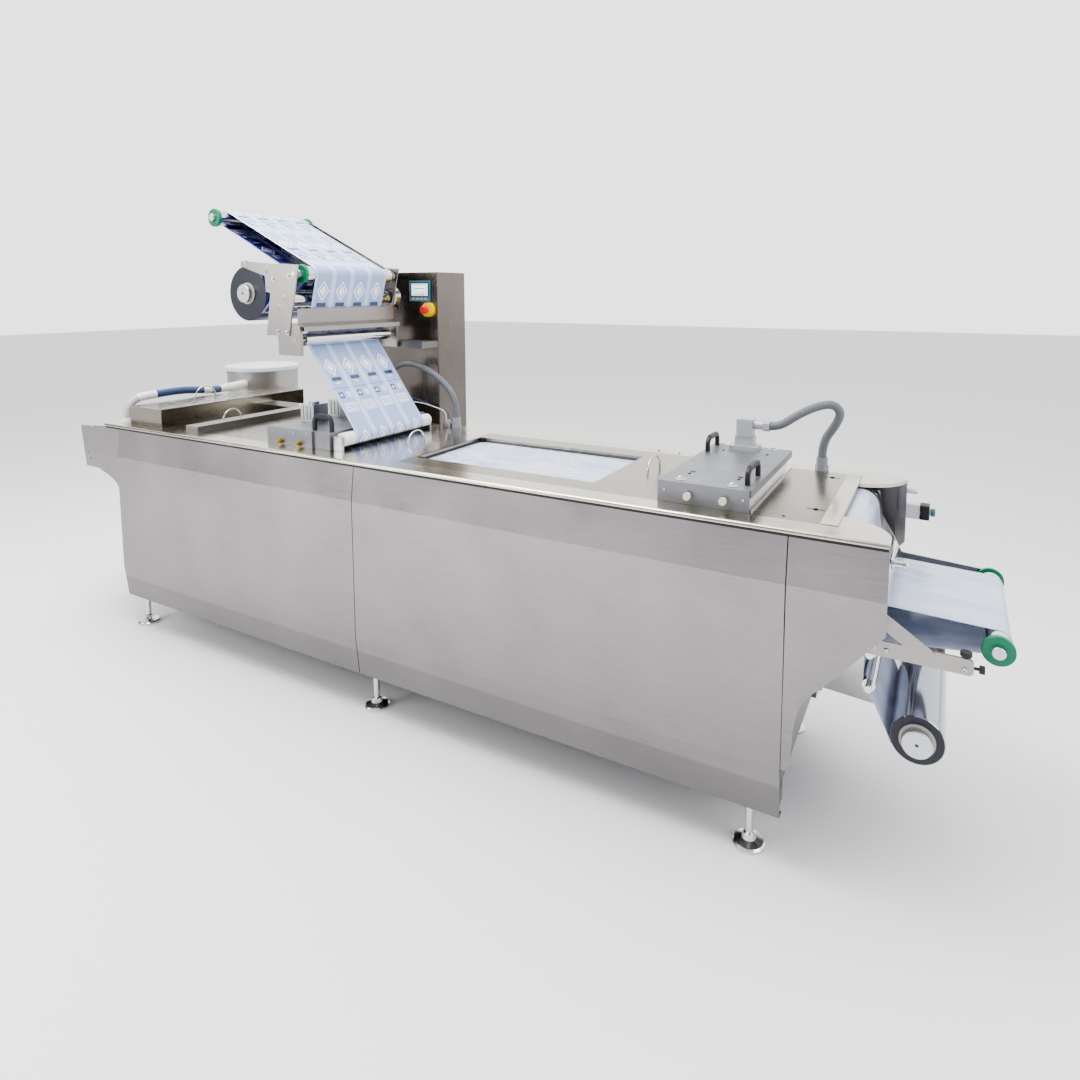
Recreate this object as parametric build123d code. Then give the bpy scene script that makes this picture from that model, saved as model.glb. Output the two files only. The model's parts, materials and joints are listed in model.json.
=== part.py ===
"""Rollstock thermoforming machine, in millimetres.

X runs along the machine, from the outfeed at the left to the infeed at the right.
Y runs across it, with the operator's side at -Y and the web's middle at Y = 0.
Z runs up from the floor.
"""
from build123d import *
from math import asin, atan2, cos, degrees, hypot, pi, radians, sin, tan
import os

# Body
BODY_LENGTH = 3200
BODY_WIDTH = 800
BODY_BOTTOM = 157
PANEL_TOP = 1000
UPPER_FOLD = 860
LOWER_FOLD = 313
PANEL_LEAN = 17
PANEL_SHEET = 3
PANEL_SEAM = 3
LEFT_PANEL_LENGTH = 1565
DECK_TOP = 1015
DECK_RAIL_WIDTH = 84
DECK_RAIL_ROUND = 9
DECK_SHADOW_GAP = 3
CHEEK_SHEET = 4
CHEEK_LENGTH = 256
CHEEK_END = BODY_LENGTH + PANEL_SEAM + CHEEK_LENGTH
PLATE_GAP = 2

# Frame
BASE_RAIL = 60
BASE_RAIL_Y = 325
SIDE_FRAME = 12
CROSS_TUBE_RADIUS = 25
CHAIN_RAIL_HEIGHT = 36
FOOT_RADIUS = 49
FOOT_STEM_RADIUS = 12
FOOT_PLACES = (55, BODY_LENGTH / 2 - 3, BODY_LENGTH - 99)
END_INSET = 14
TUBE_INSET = (160, 110)
TUBE_COUNT = 5
TUBE_LEVELS = (300, 880)
FRAME_REACH = BODY_LENGTH + 230

# Web
FILM_WIDTH = 420
FILM = 0.8
FILM_GAP = 0.3
SEAT = 0.3
ROLLER_LENGTH = 500
ROLLER_RADIUS = 34
CAP_RADIUS = 40
CAP_THICKNESS = 14
SHAFT_RADIUS = 10
RUNNING_FIT = 0.1

# Stations
FORMING_TOP = 1082
SEALING_TOP = 1087
CUTTER_TOP = 1045
SLITTER_TOP = 1102
STATION_HALF = 305
STATION_PLATE = 12
SLITTER_SPAN = (10, 262)
SLITTER_WIDTH = (-330, 512)
CUTTER_SPAN = (450, 536)
SEALING_SPAN = (981, 1253)
SEALING_DIE = 92
FORMING_SPAN = (BODY_LENGTH - 415, BODY_LENGTH - 125)
FORMING_LID = 24
CONNECTOR_PLACE = (FORMING_SPAN[0] + 130, 250)
CONNECTOR_OUTLET = 94

# Roller centres in X, Z
UPPER_TENSION = (629, 1996)
UPPER_TURN = (1170, 1739)
UPPER_DRIVE = (1120, 1636)
UPPER_DRIVE_RADIUS = 36
LOWER_TURN = (1160, 1462)
LOWER_TURN_RADIUS = 27
SEAL_ROLLER = (SEALING_SPAN[1] + 132, 1058)
SEAL_ROLLER_RADIUS = 28
UPPER_IDLER = (1012, 1748)
UPPER_REEL = (767, 1657)
UPPER_REEL_RADIUS = 124
INFEED_TENSION = (BODY_LENGTH + 519, 733)
INFEED_GUIDE = (BODY_LENGTH + 225, 800)
INFEED_GUIDE_RADIUS = 22
DECK_ROLLER = (BODY_LENGTH + 125, 936)
DECK_ROLLER_RADIUS = 60
IDLER_RADIUS = 18
LOW_IDLER = (BODY_LENGTH + 211, 550)
HIGH_IDLER = (BODY_LENGTH + 211, 650)
LOWER_REEL = (BODY_LENGTH + 340, 400)
LOWER_REEL_RADIUS = 72
CORE_RADIUS = 48
HUB_RADIUS = 41
REEL_SHAFT_RADIUS = 20
INFEED_ARM = 10
INFEED_ARM_Y = ROLLER_LENGTH / 2 + CAP_THICKNESS + 8
NEAR_BAR = 8
NEAR_BAR_Y = ROLLER_LENGTH / 2 + 42
NEAR_BAR_REACH = BODY_LENGTH + 464

# Unwinder
UNWINDER_PLATE = 6
UNWINDER_HALF = ROLLER_LENGTH / 2 + 44
BRACKET_INSET = 8

# Cabinet
CABINET_RIGHT = 1339
CABINET_WIDTH = 560
CABINET_DEPTH = 221
CABINET_TOP = 1760
CABINET_FRONT = 420

# Drum
DRUM_RADIUS = 205
DRUM_PLACE = (-255, 645)
DRUM_TOP = 1178

# Conduits and hose
CONDUIT_RADIUS = 16
HOSE_RADIUS = 21
GLAND_HEIGHT = 46
BLOCK_GLAND_HEIGHT = 34
FORMING_GLAND = (FORMING_SPAN[1] + 101, 338)
SEALING_GLAND = (SEAL_ROLLER[0] + 98, 368)
BLOCK_GLAND = (SEALING_SPAN[0] + 139, 268)
HOSE_FLANGE = (-62, -305)
HOSE_PORT = 1112
HOSE_COUPLING = 190

HALF = BODY_WIDTH / 2
RAIL_BOTTOM = PANEL_TOP + DECK_SHADOW_GAP
SIDE_OUTER = BASE_RAIL_Y + SIDE_FRAME * 1.5
SIDE_INNER = SIDE_OUTER - SIDE_FRAME
END_PANEL_X = BODY_LENGTH - END_INSET
RAIL_OUTER = HALF - PANEL_LEAN / 2
RAIL_INNER = RAIL_OUTER - DECK_RAIL_WIDTH
CHAIN_RAIL_INNER = FILM_WIDTH / 2 + 4
DECK_UNDERSIDE = RAIL_BOTTOM
DECK_START = -110
DECK_END = BODY_LENGTH + 120
COVER_START = SEAL_ROLLER[0] + 15
COVER_END = COVER_START + 322
OPENING = (COVER_END + 16, FORMING_SPAN[0] - 266)

parts = {}


def block(x0, x1, y0, y1, z0, z1):
    """A box between six faces."""
    size = Box(abs(x1 - x0), abs(y1 - y0), abs(z1 - z0))
    return Pos((x0 + x1) / 2, (y0 + y1) / 2, (z0 + z1) / 2) * size


def slab(points, axis, start, end):
    """A flat plate with a straight-sided outline that lies across one axis."""
    along = {"X": (1, 0, 0), "Y": (0, 1, 0), "Z": (0, 0, 1)}[axis]
    place = {
        "X": lambda u, v: (start, u, v),
        "Y": lambda u, v: (u, start, v),
        "Z": lambda u, v: (u, v, start),
    }[axis]
    outline = make_face(Polyline([place(u, v) for u, v in points], close=True))
    return extrude(outline, amount=end - start, dir=along)


def rod(axis, radius, centre, start, end):
    """A round bar along one axis, with its centre in the two others."""
    u, v = centre
    middle = (start + end) / 2
    bar = Cylinder(radius, abs(end - start))
    if axis == "X":
        return Pos(middle, u, v) * Rot(0, 90, 0) * bar
    if axis == "Y":
        return Pos(u, middle, v) * Rot(90, 0, 0) * bar
    return Pos(u, v, middle) * bar


def ring(axis, outer, inner, centre, start, end):
    """A round sleeve along one axis."""
    return rod(axis, outer, centre, start, end) - rod(axis, inner, centre, start, end)


def both_sides(shape):
    """The shape and its mirror image across the middle of the machine."""
    return [shape, mirror(shape, about=Plane.XZ)]


def together(solids):
    """Several solids that don't touch, kept as one shape."""
    return Compound([s for shape in solids for s in shape.solids()])


# Panels and cheeks


def panel_sheet(x0, x1, returns=True):
    """A front panel sheet with its two folds, from one X to another."""
    outer = [
        (-HALF + PANEL_LEAN, PANEL_TOP),
        (-HALF, UPPER_FOLD),
        (-HALF, LOWER_FOLD),
        (-HALF + PANEL_LEAN, BODY_BOTTOM),
    ]
    inner = [(y + PANEL_SHEET, z) for y, z in outer]
    sheet = slab(outer + inner[::-1], "X", x0, x1)
    if returns:
        lip = -HALF + PANEL_LEAN + PANEL_SHEET / 2
        low_end = -BASE_RAIL_Y - BASE_RAIL / 2 - SEAT
        top_end = -SIDE_OUTER - SEAT
        sheet += block(x0, x1, lip, low_end, BODY_BOTTOM, BODY_BOTTOM + PANEL_SHEET)
        sheet += block(x0, x1, lip, top_end, PANEL_TOP - PANEL_SHEET, PANEL_TOP)
    return sheet


def body_panels():
    seam = LEFT_PANEL_LENGTH
    left = panel_sheet(0, seam)
    right = panel_sheet(seam + PANEL_SEAM, BODY_LENGTH)
    parts["front_panel_left"] = left
    parts["front_panel_right"] = right
    parts["back_panels"] = together([mirror(sheet, about=Plane.XZ) for sheet in (left, right)])


def cheeks():
    """The plates that run on past the body at both ends."""
    start = BODY_LENGTH + PANEL_SEAM
    sheet = panel_sheet(start, CHEEK_END)
    outline = Polyline(
        (start, PANEL_TOP), (CHEEK_END, PANEL_TOP), (CHEEK_END, 771), (start + 97, 582)
    )
    curve = Spline((start + 97, 582), (start + 41, 500), (start + 27, 400), (start + 24, 335))
    foot = Line((start + 24, 335), (start + 12, 318))
    back = Polyline((start + 12, 318), (start, 318), (start, PANEL_TOP))
    face = make_face([outline, curve, foot, back])
    face = Plane.XZ * face
    cutter = extrude(face, amount=HALF + 10, both=True)
    parts["infeed_cheeks"] = together(both_sides(sheet & cutter))

    left = Polyline((-PANEL_SEAM, PANEL_TOP), (-112, PANEL_TOP), (-340, 984), (-310, 779), (-195, 776))
    sweep = Spline((-195, 776), (-104, 746), (-60, 724), (-25, 679))
    tail = Polyline((-25, 679), (-14, 560), (-PANEL_SEAM, 548), (-PANEL_SEAM, PANEL_TOP))
    face = Plane.XZ * make_face([left, sweep, tail])
    outer = HALF - PANEL_LEAN
    plate = Pos(0, -outer + CHEEK_SHEET, 0) * extrude(face, amount=CHEEK_SHEET)
    for z in (850, 950):
        plate += rod("Y", 12, (-60, z), -outer + CHEEK_SHEET, -SIDE_OUTER - SEAT)
    parts["outfeed_cheeks"] = together(both_sides(plate))


# Frame and feet


def side_frames():
    """A square base beam on each side with the tall side plate welded on it."""
    low = BODY_BOTTOM
    half = BASE_RAIL / 2
    y = BASE_RAIL_Y
    beam = block(10, BODY_LENGTH - 10, -y - half, -y + half, low, low + BASE_RAIL)
    outline = [
        (END_INSET, low + BASE_RAIL),
        (END_PANEL_X, low + BASE_RAIL),
        (END_PANEL_X, 660),
        (FRAME_REACH, 810),
        (FRAME_REACH, RAIL_BOTTOM),
        (-100, RAIL_BOTTOM),
        (-100, 820),
        (END_INSET, 760),
    ]
    plate = slab(outline, "Y", -SIDE_OUTER, -SIDE_OUTER + SIDE_FRAME)
    parts["side_frames"] = together(both_sides(beam + plate))


def cross_tubes():
    """Tubes in two rows that join the side plates, evenly spread along the body."""
    first, last = TUBE_INSET[0], BODY_LENGTH - TUBE_INSET[1]
    pitch = (last - first) / (TUBE_COUNT - 1)
    tubes = []
    for i in range(TUBE_COUNT):
        for z in TUBE_LEVELS:
            tube = rod("Y", CROSS_TUBE_RADIUS, (first + i * pitch, z), -SIDE_INNER, SIDE_INNER)
            tubes.append(tube)
    parts["cross_tubes"] = together(tubes)


def levelling_feet():
    """Six feet: a domed disc, a threaded stem and its lock nut."""
    profile = Polyline(
        (0, 0),
        (FOOT_RADIUS, 0),
        (FOOT_RADIUS, 9),
        (FOOT_RADIUS - 5, 14),
        (22, 22),
        (17, 38),
        (FOOT_STEM_RADIUS, 42),
        (FOOT_STEM_RADIUS, BODY_BOTTOM),
        (0, BODY_BOTTOM),
        close=True,
    )
    foot = revolve(Plane.XZ * make_face(profile), axis=Axis.Z)
    nut = extrude(RegularPolygon(19, 6), amount=16)
    foot += Pos(0, 0, BODY_BOTTOM - 30) * nut
    feet = [Pos(x, y, 0) * foot for x in FOOT_PLACES for y in (-BASE_RAIL_Y, BASE_RAIL_Y)]
    for x in (CABINET_RIGHT - CABINET_WIDTH + 60, CABINET_RIGHT - 60):
        for y in (CABINET_FRONT + 55, CABINET_FRONT + CABINET_DEPTH - 55):
            feet.append(Pos(x, y, 0) * foot)
    parts["levelling_feet"] = together(feet)


def end_panels():
    reach = SIDE_INNER - SEAT
    low = BODY_BOTTOM + BASE_RAIL
    infeed = block(END_PANEL_X, END_PANEL_X + PANEL_SHEET, -reach, reach, low, 905)
    outfeed = block(END_INSET, END_INSET + PANEL_SHEET, -reach, reach, low, 930)
    parts["end_panels"] = together([infeed, outfeed])


# Deck


def deck_rails():
    """The strips along both edges of the deck, each with its wing at the open end."""
    end = CHEEK_END - 1
    half = RAIL_OUTER
    wing = make_face(
        [
            Line((DECK_END, -half), (end, -half)),
            Line((end, -half), (end, -half + 70)),
            Spline((end, -half + 70), (end - 35, -half + 135), (DECK_END + 0.5, -200)),
            Line((DECK_END + 0.5, -200), (DECK_END, -half)),
        ]
    )
    thickness = DECK_TOP - RAIL_BOTTOM
    rail = block(DECK_START - PLATE_GAP, DECK_END + 1, -half, -RAIL_INNER, RAIL_BOTTOM, DECK_TOP)
    rail += Pos(0, 0, RAIL_BOTTOM) * extrude(wing, amount=thickness)
    edges = rail.edges().filter_by(Axis.X).group_by(Axis.Z)[-1].group_by(Axis.Y)[0]
    parts["deck_rails"] = together(both_sides(fillet(edges, DECK_RAIL_ROUND)))


def chain_rails():
    """Guides along both edges of the web, with the deck plates on top."""
    outer = SIDE_INNER - SEAT
    bottom = DECK_UNDERSIDE - CHAIN_RAIL_HEIGHT
    rail = block(20, END_PANEL_X - 6, -outer, -CHAIN_RAIL_INNER, bottom, DECK_UNDERSIDE)
    parts["chain_rails"] = together(both_sides(rail))


def deck_plate(x0, x1):
    half = RAIL_INNER - SEAT
    return block(x0, x1, -half, half, DECK_UNDERSIDE, DECK_TOP)


def deck_plates():
    split = FORMING_SPAN[0] - 1
    outfeed = deck_plate(DECK_START, COVER_START - PLATE_GAP)
    infeed = deck_plate(split, DECK_END - 0.5)
    parts["deck_plates"] = together([outfeed, infeed])
    parts["cover_plate"] = deck_plate(COVER_START, COVER_END)
    opening = block(*OPENING, -CHAIN_RAIL_INNER, CHAIN_RAIL_INNER, 900, 1100)
    parts["loading_frame"] = deck_plate(COVER_END + PLATE_GAP, split - PLATE_GAP) - opening


def outfeed_chute():
    reach = SIDE_INNER - SEAT
    outline = [(-8, 966), (-325, 812), (-325, 808), (-8, 962)]
    parts["outfeed_chute"] = slab(outline, "Y", -reach, reach)


def bow_handle(span, height, bar):
    """A bow handle across Y, with its feet at Z = 0."""
    corner = bar * 1.9
    path = FilletPolyline(
        (0, -span / 2, 0),
        (0, -span / 2, height - bar / 2),
        (0, span / 2, height - bar / 2),
        (0, span / 2, 0),
        radius=corner,
    )
    section = Plane((0, -span / 2, 0)) * RectangleRounded(bar, bar * 1.2, bar * 0.3)
    return sweep(section, path=path)


def wire_handle(span, height, radius=3.5):
    """An arched wire handle across Y, with its feet at Z = 0."""
    arch = ThreePointArc((0, -span / 2, 0), (0, 0, height), (0, span / 2, 0))
    start = Plane((0, -span / 2, 0), z_dir=arch % 0)
    bow = sweep(start * Circle(radius), path=arch)
    return bow & Pos(0, 0, height) * Box(40, span * 2, height * 2)


def handles():
    """Wire handles to lift plates and covers, and the black bow handles."""
    wires = [
        Pos(COVER_START + 143, 8, DECK_TOP) * wire_handle(112, 50),
        Pos(FORMING_SPAN[0] - 141, 18, DECK_TOP) * wire_handle(118, 60),
        Pos(SLITTER_SPAN[0] + 94, 8, SLITTER_TOP) * wire_handle(112, 66),
        Pos(CUTTER_SPAN[0] + 34, -112, CUTTER_TOP) * wire_handle(100, 48),
    ]
    parts["wire_handles"] = together(wires)
    bows = [
        Pos(FORMING_SPAN[1] - 25, -175, FORMING_TOP) * bow_handle(129, 55, 15),
        Pos(FORMING_SPAN[0] + 18, 208, FORMING_TOP) * bow_handle(119, 55, 15),
        Pos(SEALING_SPAN[1] + 33, -272, SEALING_TOP) * Rot(0, 0, 90) * bow_handle(100, 70, 15),
    ]
    parts["bow_handles"] = together(bows)


# Stations on the deck


def forming_station():
    x0, x1 = FORMING_SPAN
    y = STATION_HALF
    top = FORMING_TOP
    inner = -y + STATION_PLATE + SEAT
    rail_x = x1 - 26
    parts["forming_block"] = block(x0 + 4, rail_x, inner, y, DECK_TOP, top - FORMING_LID)
    cover = block(x0, x1, inner, y, top - FORMING_LID, top)
    for x in (x0 + 65, x1 - 65):
        for slot_y in (-190, 190):
            cover -= Pos(x, slot_y, top) * Box(9, 22, 8)
    parts["forming_cover"] = cover
    angle = [
        (rail_x + SEAT, DECK_TOP),
        (x1, DECK_TOP),
        (x1, DECK_TOP + 7),
        (rail_x + 8, DECK_TOP + 7),
        (rail_x + 8, DECK_TOP + 29),
        (rail_x + SEAT, DECK_TOP + 29),
    ]
    parts["forming_side_rail"] = slab(angle, "Y", inner, y)
    knobs = []
    for x in (x0 + 101, x1 - 78):
        boss = rod("Y", 8, (x, 1045), -y - 8, -y)
        star = Plane((x, -y - 8, 1045), z_dir=(0, -1, 0)) * RegularPolygon(12, 8)
        knobs.append(boss + extrude(star, amount=14))
    parts["forming_vent_knobs"] = together(knobs)
    parts["forming_connector"] = connector(*CONNECTOR_PLACE, top)
    front = block(x0, x1 - 4, -y, -y + STATION_PLATE, DECK_TOP, top)
    sealing_front = block(*SEALING_SPAN, -y, -y + STATION_PLATE, DECK_TOP, SEALING_TOP)
    parts["station_front_plates"] = together([front, sealing_front])


def connector(x, y, z):
    """A heavy-duty plug: flange, socket with its levers and an angled hood."""
    base = block(x - 52, x + 52, y - 40, y + 40, z, z + 16)
    base = fillet(base.edges().filter_by(Axis.Z), 6)
    socket = block(x - 34, x + 34, y - 22, y + 22, z + 16, z + 50)
    hood = block(x - 30, x + 30, y - 26, y + 26, z + 50, z + 114)
    hood = fillet(hood.edges().filter_by(Axis.Z), 5)
    outlet = z + CONNECTOR_OUTLET
    collar = rod("X", CONDUIT_RADIUS, (y, outlet), x + 30, x + 66)
    nut = Plane((x + 66, y, outlet), z_dir=(1, 0, 0)) * RegularPolygon(CONDUIT_RADIUS + 5, 6)
    return base + socket + hood + collar + extrude(nut, amount=24)


def sealing_station():
    x0, x1 = SEALING_SPAN
    y = STATION_HALF
    top = SEALING_TOP
    body = block(x0 + 4, x1, -y + STATION_PLATE + SEAT, y, DECK_TOP, top)
    die = block(x1, x1 + SEALING_DIE, -y + 10, y - 10, DECK_TOP, top)
    parts["sealing_block"] = body + die
    fittings = []
    for x in (x0 + 91, x0 + 203):
        nut = Plane((x, -y, 1031), z_dir=(0, -1, 0)) * RegularPolygon(11, 6)
        sleeve = ring("Y", 8, 4, (x, 1031), -y - 22, -y - 12)
        fittings.append(extrude(nut, amount=12) + sleeve)
    parts["sealing_air_fittings"] = together(fittings)
    cylinders = []
    width, depth, height = 80, 84, 76
    middle = x0 + 71
    for y0 in (-150, 10, 170):
        body = block(middle - width / 2, middle + width / 2, y0, y0 + depth, top, top + height)
        for x in (middle - 22, middle, middle + 22):
            body -= block(x - 3, x + 3, y0, y0 + 3, top + 8, top + height - 8)
        body += rod("Z", 22, (middle, y0 + depth / 2), top + height, top + height + 10)
        cylinders.append(body)
    parts["sealing_cylinders"] = together(cylinders)


def seal_roller():
    x, z = SEAL_ROLLER
    half = (ROLLER_LENGTH + 35) / 2
    sleeve = rod("Y", SEAL_ROLLER_RADIUS, SEAL_ROLLER, -half, half)
    shaft = rod("Y", SHAFT_RADIUS, SEAL_ROLLER, -half - 14, half + 14)
    parts["seal_roller"] = sleeve + shaft
    outline = [(x - 36, DECK_TOP), (x + 14, DECK_TOP), (x + 14, z + 14), (x - 36, z + 14)]
    plate = slab(outline, "Y", -half - 14, -half - 2)
    plate -= rod("Y", SHAFT_RADIUS + RUNNING_FIT, SEAL_ROLLER, -HALF, 0)
    front, back = both_sides(plate)
    parts["seal_roller_brackets"] = together([front, back])


def cutting_stations():
    y0, y1 = SLITTER_WIDTH
    parts["cutter_bar"] = block(*CUTTER_SPAN, y0, STATION_HALF, DECK_TOP, CUTTER_TOP)
    x0, x1 = SLITTER_SPAN
    sheet = PANEL_SHEET
    shell = block(x0, x1, y0, y1, DECK_TOP, SLITTER_TOP)
    shell -= block(x0 + sheet, x1 + 1, y0 + sheet, y1 - sheet, DECK_TOP - 1, SLITTER_TOP - sheet)
    for column in range(3):
        for row in range(9):
            shell -= Pos(x0 + 60 + column * 60, y0 + 140 + row * 75, SLITTER_TOP) * Box(12, 48, 12)
    parts["slitter_cover"] = shell


# Film unwinder above the sealing station


def unwinder_plate_outline():
    return [
        (1036, 1783),
        (1203, 1775),
        (1134, 1480),
        (998, 1480),
        (1030, 1660),
        (1003, 1664),
        (1000, 1731),
        (846, 1775),
        (852, 1797),
    ]


def unwinder_frame():
    plate = slab(unwinder_plate_outline(), "Y", -UNWINDER_HALF - UNWINDER_PLATE, -UNWINDER_HALF)
    for centre in (UPPER_TURN, UPPER_DRIVE, UPPER_IDLER):
        plate -= rod("Y", SHAFT_RADIUS + RUNNING_FIT, centre, -HALF, 0)
    front, back = both_sides(plate)
    arm_outline = [(720, 1620), (1010, 1620), (1010, 1700), (720, 1700)]
    reel_arm = slab(arm_outline, "Y", UNWINDER_HALF, UNWINDER_HALF + UNWINDER_PLATE)
    back = back + reel_arm
    back -= rod("Y", REEL_SHAFT_RADIUS + RUNNING_FIT, UPPER_REEL, 0, HALF)
    parts["unwinder_plates"] = together([front, back])

    box = [(1061, 1398), (1195, 1398), (1195, 1521), (1171, 1529.6), (1061, 1529.6)]
    inner = UNWINDER_HALF - BRACKET_INSET
    bracket = slab(box, "Y", -inner, -inner + UNWINDER_PLATE)
    bracket += slab([(1061, 1398), (1067, 1398), (1067, 1520), (1061, 1520)], "Y", -inner, -inner + 60)
    bracket += slab(box, "Y", -UNWINDER_HALF, -inner)
    bracket -= rod("Y", SHAFT_RADIUS + RUNNING_FIT, LOWER_TURN, -HALF, 0)
    front, back = both_sides(bracket)
    parts["lower_roller_brackets"] = together([front, back])

    fold = [
        (1174, 1594),
        (1177, 1594),
        (1174, 1533),
        (1213, 1519),
        (1213, 1500),
        (1210, 1500),
        (1210, 1516),
        (1171, 1530),
    ]
    reach = UNWINDER_HALF - BRACKET_INSET - SEAT
    parts["unwinder_tray"] = slab(fold, "Y", -reach, reach)


def tension_arms():
    """The arm on the far side that carries the upper tension roller."""
    x0, z0 = UPPER_TURN
    x1, z1 = UPPER_TENSION
    length = hypot(x1 - x0, z1 - z0)
    turn = degrees(atan2(z1 - z0, x1 - x0))
    y = ROLLER_LENGTH / 2 + CAP_THICKNESS + 8
    flat = Plane.XZ * SlotCenterToCenter(length, 44)
    arm = extrude(flat, amount=-10)
    arm = Pos((x0 + x1) / 2, y, (z0 + z1) / 2) * Rot(0, -turn, 0) * arm
    for centre in (UPPER_TURN, UPPER_TENSION):
        arm -= rod("Y", SHAFT_RADIUS + RUNNING_FIT, centre, 0, HALF)
    parts["upper_tension_arm"] = arm


def capped_roller(centre, near, far, radius=ROLLER_RADIUS):
    """A chrome roller on its shaft. The shaft runs from near to far."""
    half = ROLLER_LENGTH / 2
    return rod("Y", radius, centre, -half, half) + rod("Y", SHAFT_RADIUS, centre, near, far)


def end_caps(centre, sides=(-1, 1)):
    """The end discs of a roller, each with a rounded outer rim."""
    caps = []
    half = ROLLER_LENGTH / 2
    for side in sides:
        cap = ring("Y", CAP_RADIUS, SHAFT_RADIUS, centre, side * half, side * (half + CAP_THICKNESS))
        rims = [e for e in cap.edges().filter_by(GeomType.CIRCLE) if e.radius > CAP_RADIUS - 0.1]
        outer = max(rims, key=lambda e: side * e.center().Y)
        caps.append(fillet(outer, 3))
    return caps


def upper_rollers():
    tip = ROLLER_LENGTH / 2 + CAP_THICKNESS + 12
    arm_outer = ROLLER_LENGTH / 2 + CAP_THICKNESS + 18
    plate_outer = UNWINDER_HALF + UNWINDER_PLATE
    drive_half = UNWINDER_HALF - BRACKET_INSET
    drive = rod("Y", UPPER_DRIVE_RADIUS, UPPER_DRIVE, -drive_half, drive_half)
    drive += rod("Y", SHAFT_RADIUS, UPPER_DRIVE, -plate_outer, plate_outer)
    rollers = [
        capped_roller(UPPER_TENSION, -tip, arm_outer),
        capped_roller(UPPER_TURN, -plate_outer, plate_outer),
        drive,
        capped_roller(UPPER_IDLER, -plate_outer, plate_outer, IDLER_RADIUS),
        capped_roller(LOWER_TURN, -UNWINDER_HALF, UNWINDER_HALF, LOWER_TURN_RADIUS),
    ]
    parts["upper_rollers"] = together(rollers)
    caps = end_caps(UPPER_TENSION) + end_caps(UPPER_TURN, (-1,)) + end_caps(INFEED_TENSION)
    parts["roller_end_caps"] = together(caps)
    motor = rod("Y", 58, UPPER_DRIVE, plate_outer + SEAT, plate_outer + 40)
    motor += rod("Y", 34, UPPER_DRIVE, plate_outer + 40, plate_outer + 66)
    parts["drive_motor"] = fillet(motor.edges().filter_by(GeomType.CIRCLE), 4)


def reel(centre, radius):
    """A roll of film on its core."""
    half = FILM_WIDTH / 2
    roll = ring("Y", radius, CORE_RADIUS, centre, -half, half)
    core = ring("Y", CORE_RADIUS, HUB_RADIUS, centre, -half - 4, half + 4)
    return roll, core


def reel_shaft(centre, far):
    """The expanding shaft that holds a core, with its end face rounded."""
    half = FILM_WIDTH / 2
    hub = rod("Y", HUB_RADIUS, centre, -half - 26, half + 12)
    front = hub.edges().filter_by(GeomType.CIRCLE).sort_by(Axis.Y)[0]
    hub = fillet(front, 4)
    hub -= rod("Y", 5, centre, -half - 30, -half - 14)
    return hub + rod("Y", REEL_SHAFT_RADIUS, centre, half, far)


def reels():
    upper_far = UNWINDER_HALF + UNWINDER_PLATE
    lower_far = INFEED_ARM_Y + INFEED_ARM
    upper_roll, upper_core = reel(UPPER_REEL, UPPER_REEL_RADIUS)
    lower_roll, lower_core = reel(LOWER_REEL, LOWER_REEL_RADIUS)
    parts["film_reels"] = together([upper_roll, lower_roll])
    parts["reel_cores"] = together([upper_core, lower_core])
    shafts = [reel_shaft(UPPER_REEL, upper_far), reel_shaft(LOWER_REEL, lower_far)]
    parts["reel_shafts"] = together(shafts)


# Film path

ANTICLOCKWISE = 1
CLOCKWISE = -1


def path_side(stops, side):
    """One face of a film that runs over rollers.

    Each stop is (centre, radius, turn), and turn 0 is a free end.
    The right-hand face of the film has side 1 and the left-hand face has side 0.
    """
    signed = []
    for centre, radius, turn in stops:
        if turn == ANTICLOCKWISE:
            signed.append(radius + FILM_GAP + side * FILM)
        elif turn == CLOCKWISE:
            signed.append(-radius - FILM_GAP - (1 - side) * FILM)
        else:
            signed.append((side - 0.5) * FILM)
    points = [[] for _ in stops]
    for i in range(len(stops) - 1):
        (x0, z0), (x1, z1) = stops[i][0], stops[i + 1][0]
        length = hypot(x1 - x0, z1 - z0)
        heading = atan2(z1 - z0, x1 - x0) - asin((signed[i + 1] - signed[i]) / length)
        normal = (sin(heading), -cos(heading))
        points[i].append((x0 + signed[i] * normal[0], z0 + signed[i] * normal[1]))
        points[i + 1].append((x1 + signed[i + 1] * normal[0], z1 + signed[i + 1] * normal[1]))
    edges = []
    for i, (centre, radius, turn) in enumerate(stops):
        if len(points[i]) == 2:
            edges.append(arc_round(centre, points[i][0], points[i][1], turn))
        if i < len(stops) - 1:
            edges.append(Line(points[i][-1], points[i + 1][0]))
    return edges, points[0][0], points[-1][-1]


def arc_round(centre, start, end, turn):
    """The arc from start to end round a centre, in the given turning sense."""
    a0 = atan2(start[1] - centre[1], start[0] - centre[0])
    a1 = atan2(end[1] - centre[1], end[0] - centre[0])
    full = radians(360)
    swing = (a1 - a0) % full if turn == ANTICLOCKWISE else -((a0 - a1) % full)
    radius = hypot(start[0] - centre[0], start[1] - centre[1])
    middle = (centre[0] + radius * cos(a0 + swing / 2), centre[1] + radius * sin(a0 + swing / 2))
    return ThreePointArc(start, middle, end)


def film(stops):
    """A film of even thickness that lies round its rollers."""
    left, left_start, left_end = path_side(stops, 0)
    right, right_start, right_end = path_side(stops, 1)
    ends = [Line(left_start, right_start), Line(left_end, right_end)]
    face = Plane.XZ * make_face(left + right + ends)
    return extrude(face, amount=FILM_WIDTH / 2, both=True)


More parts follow.
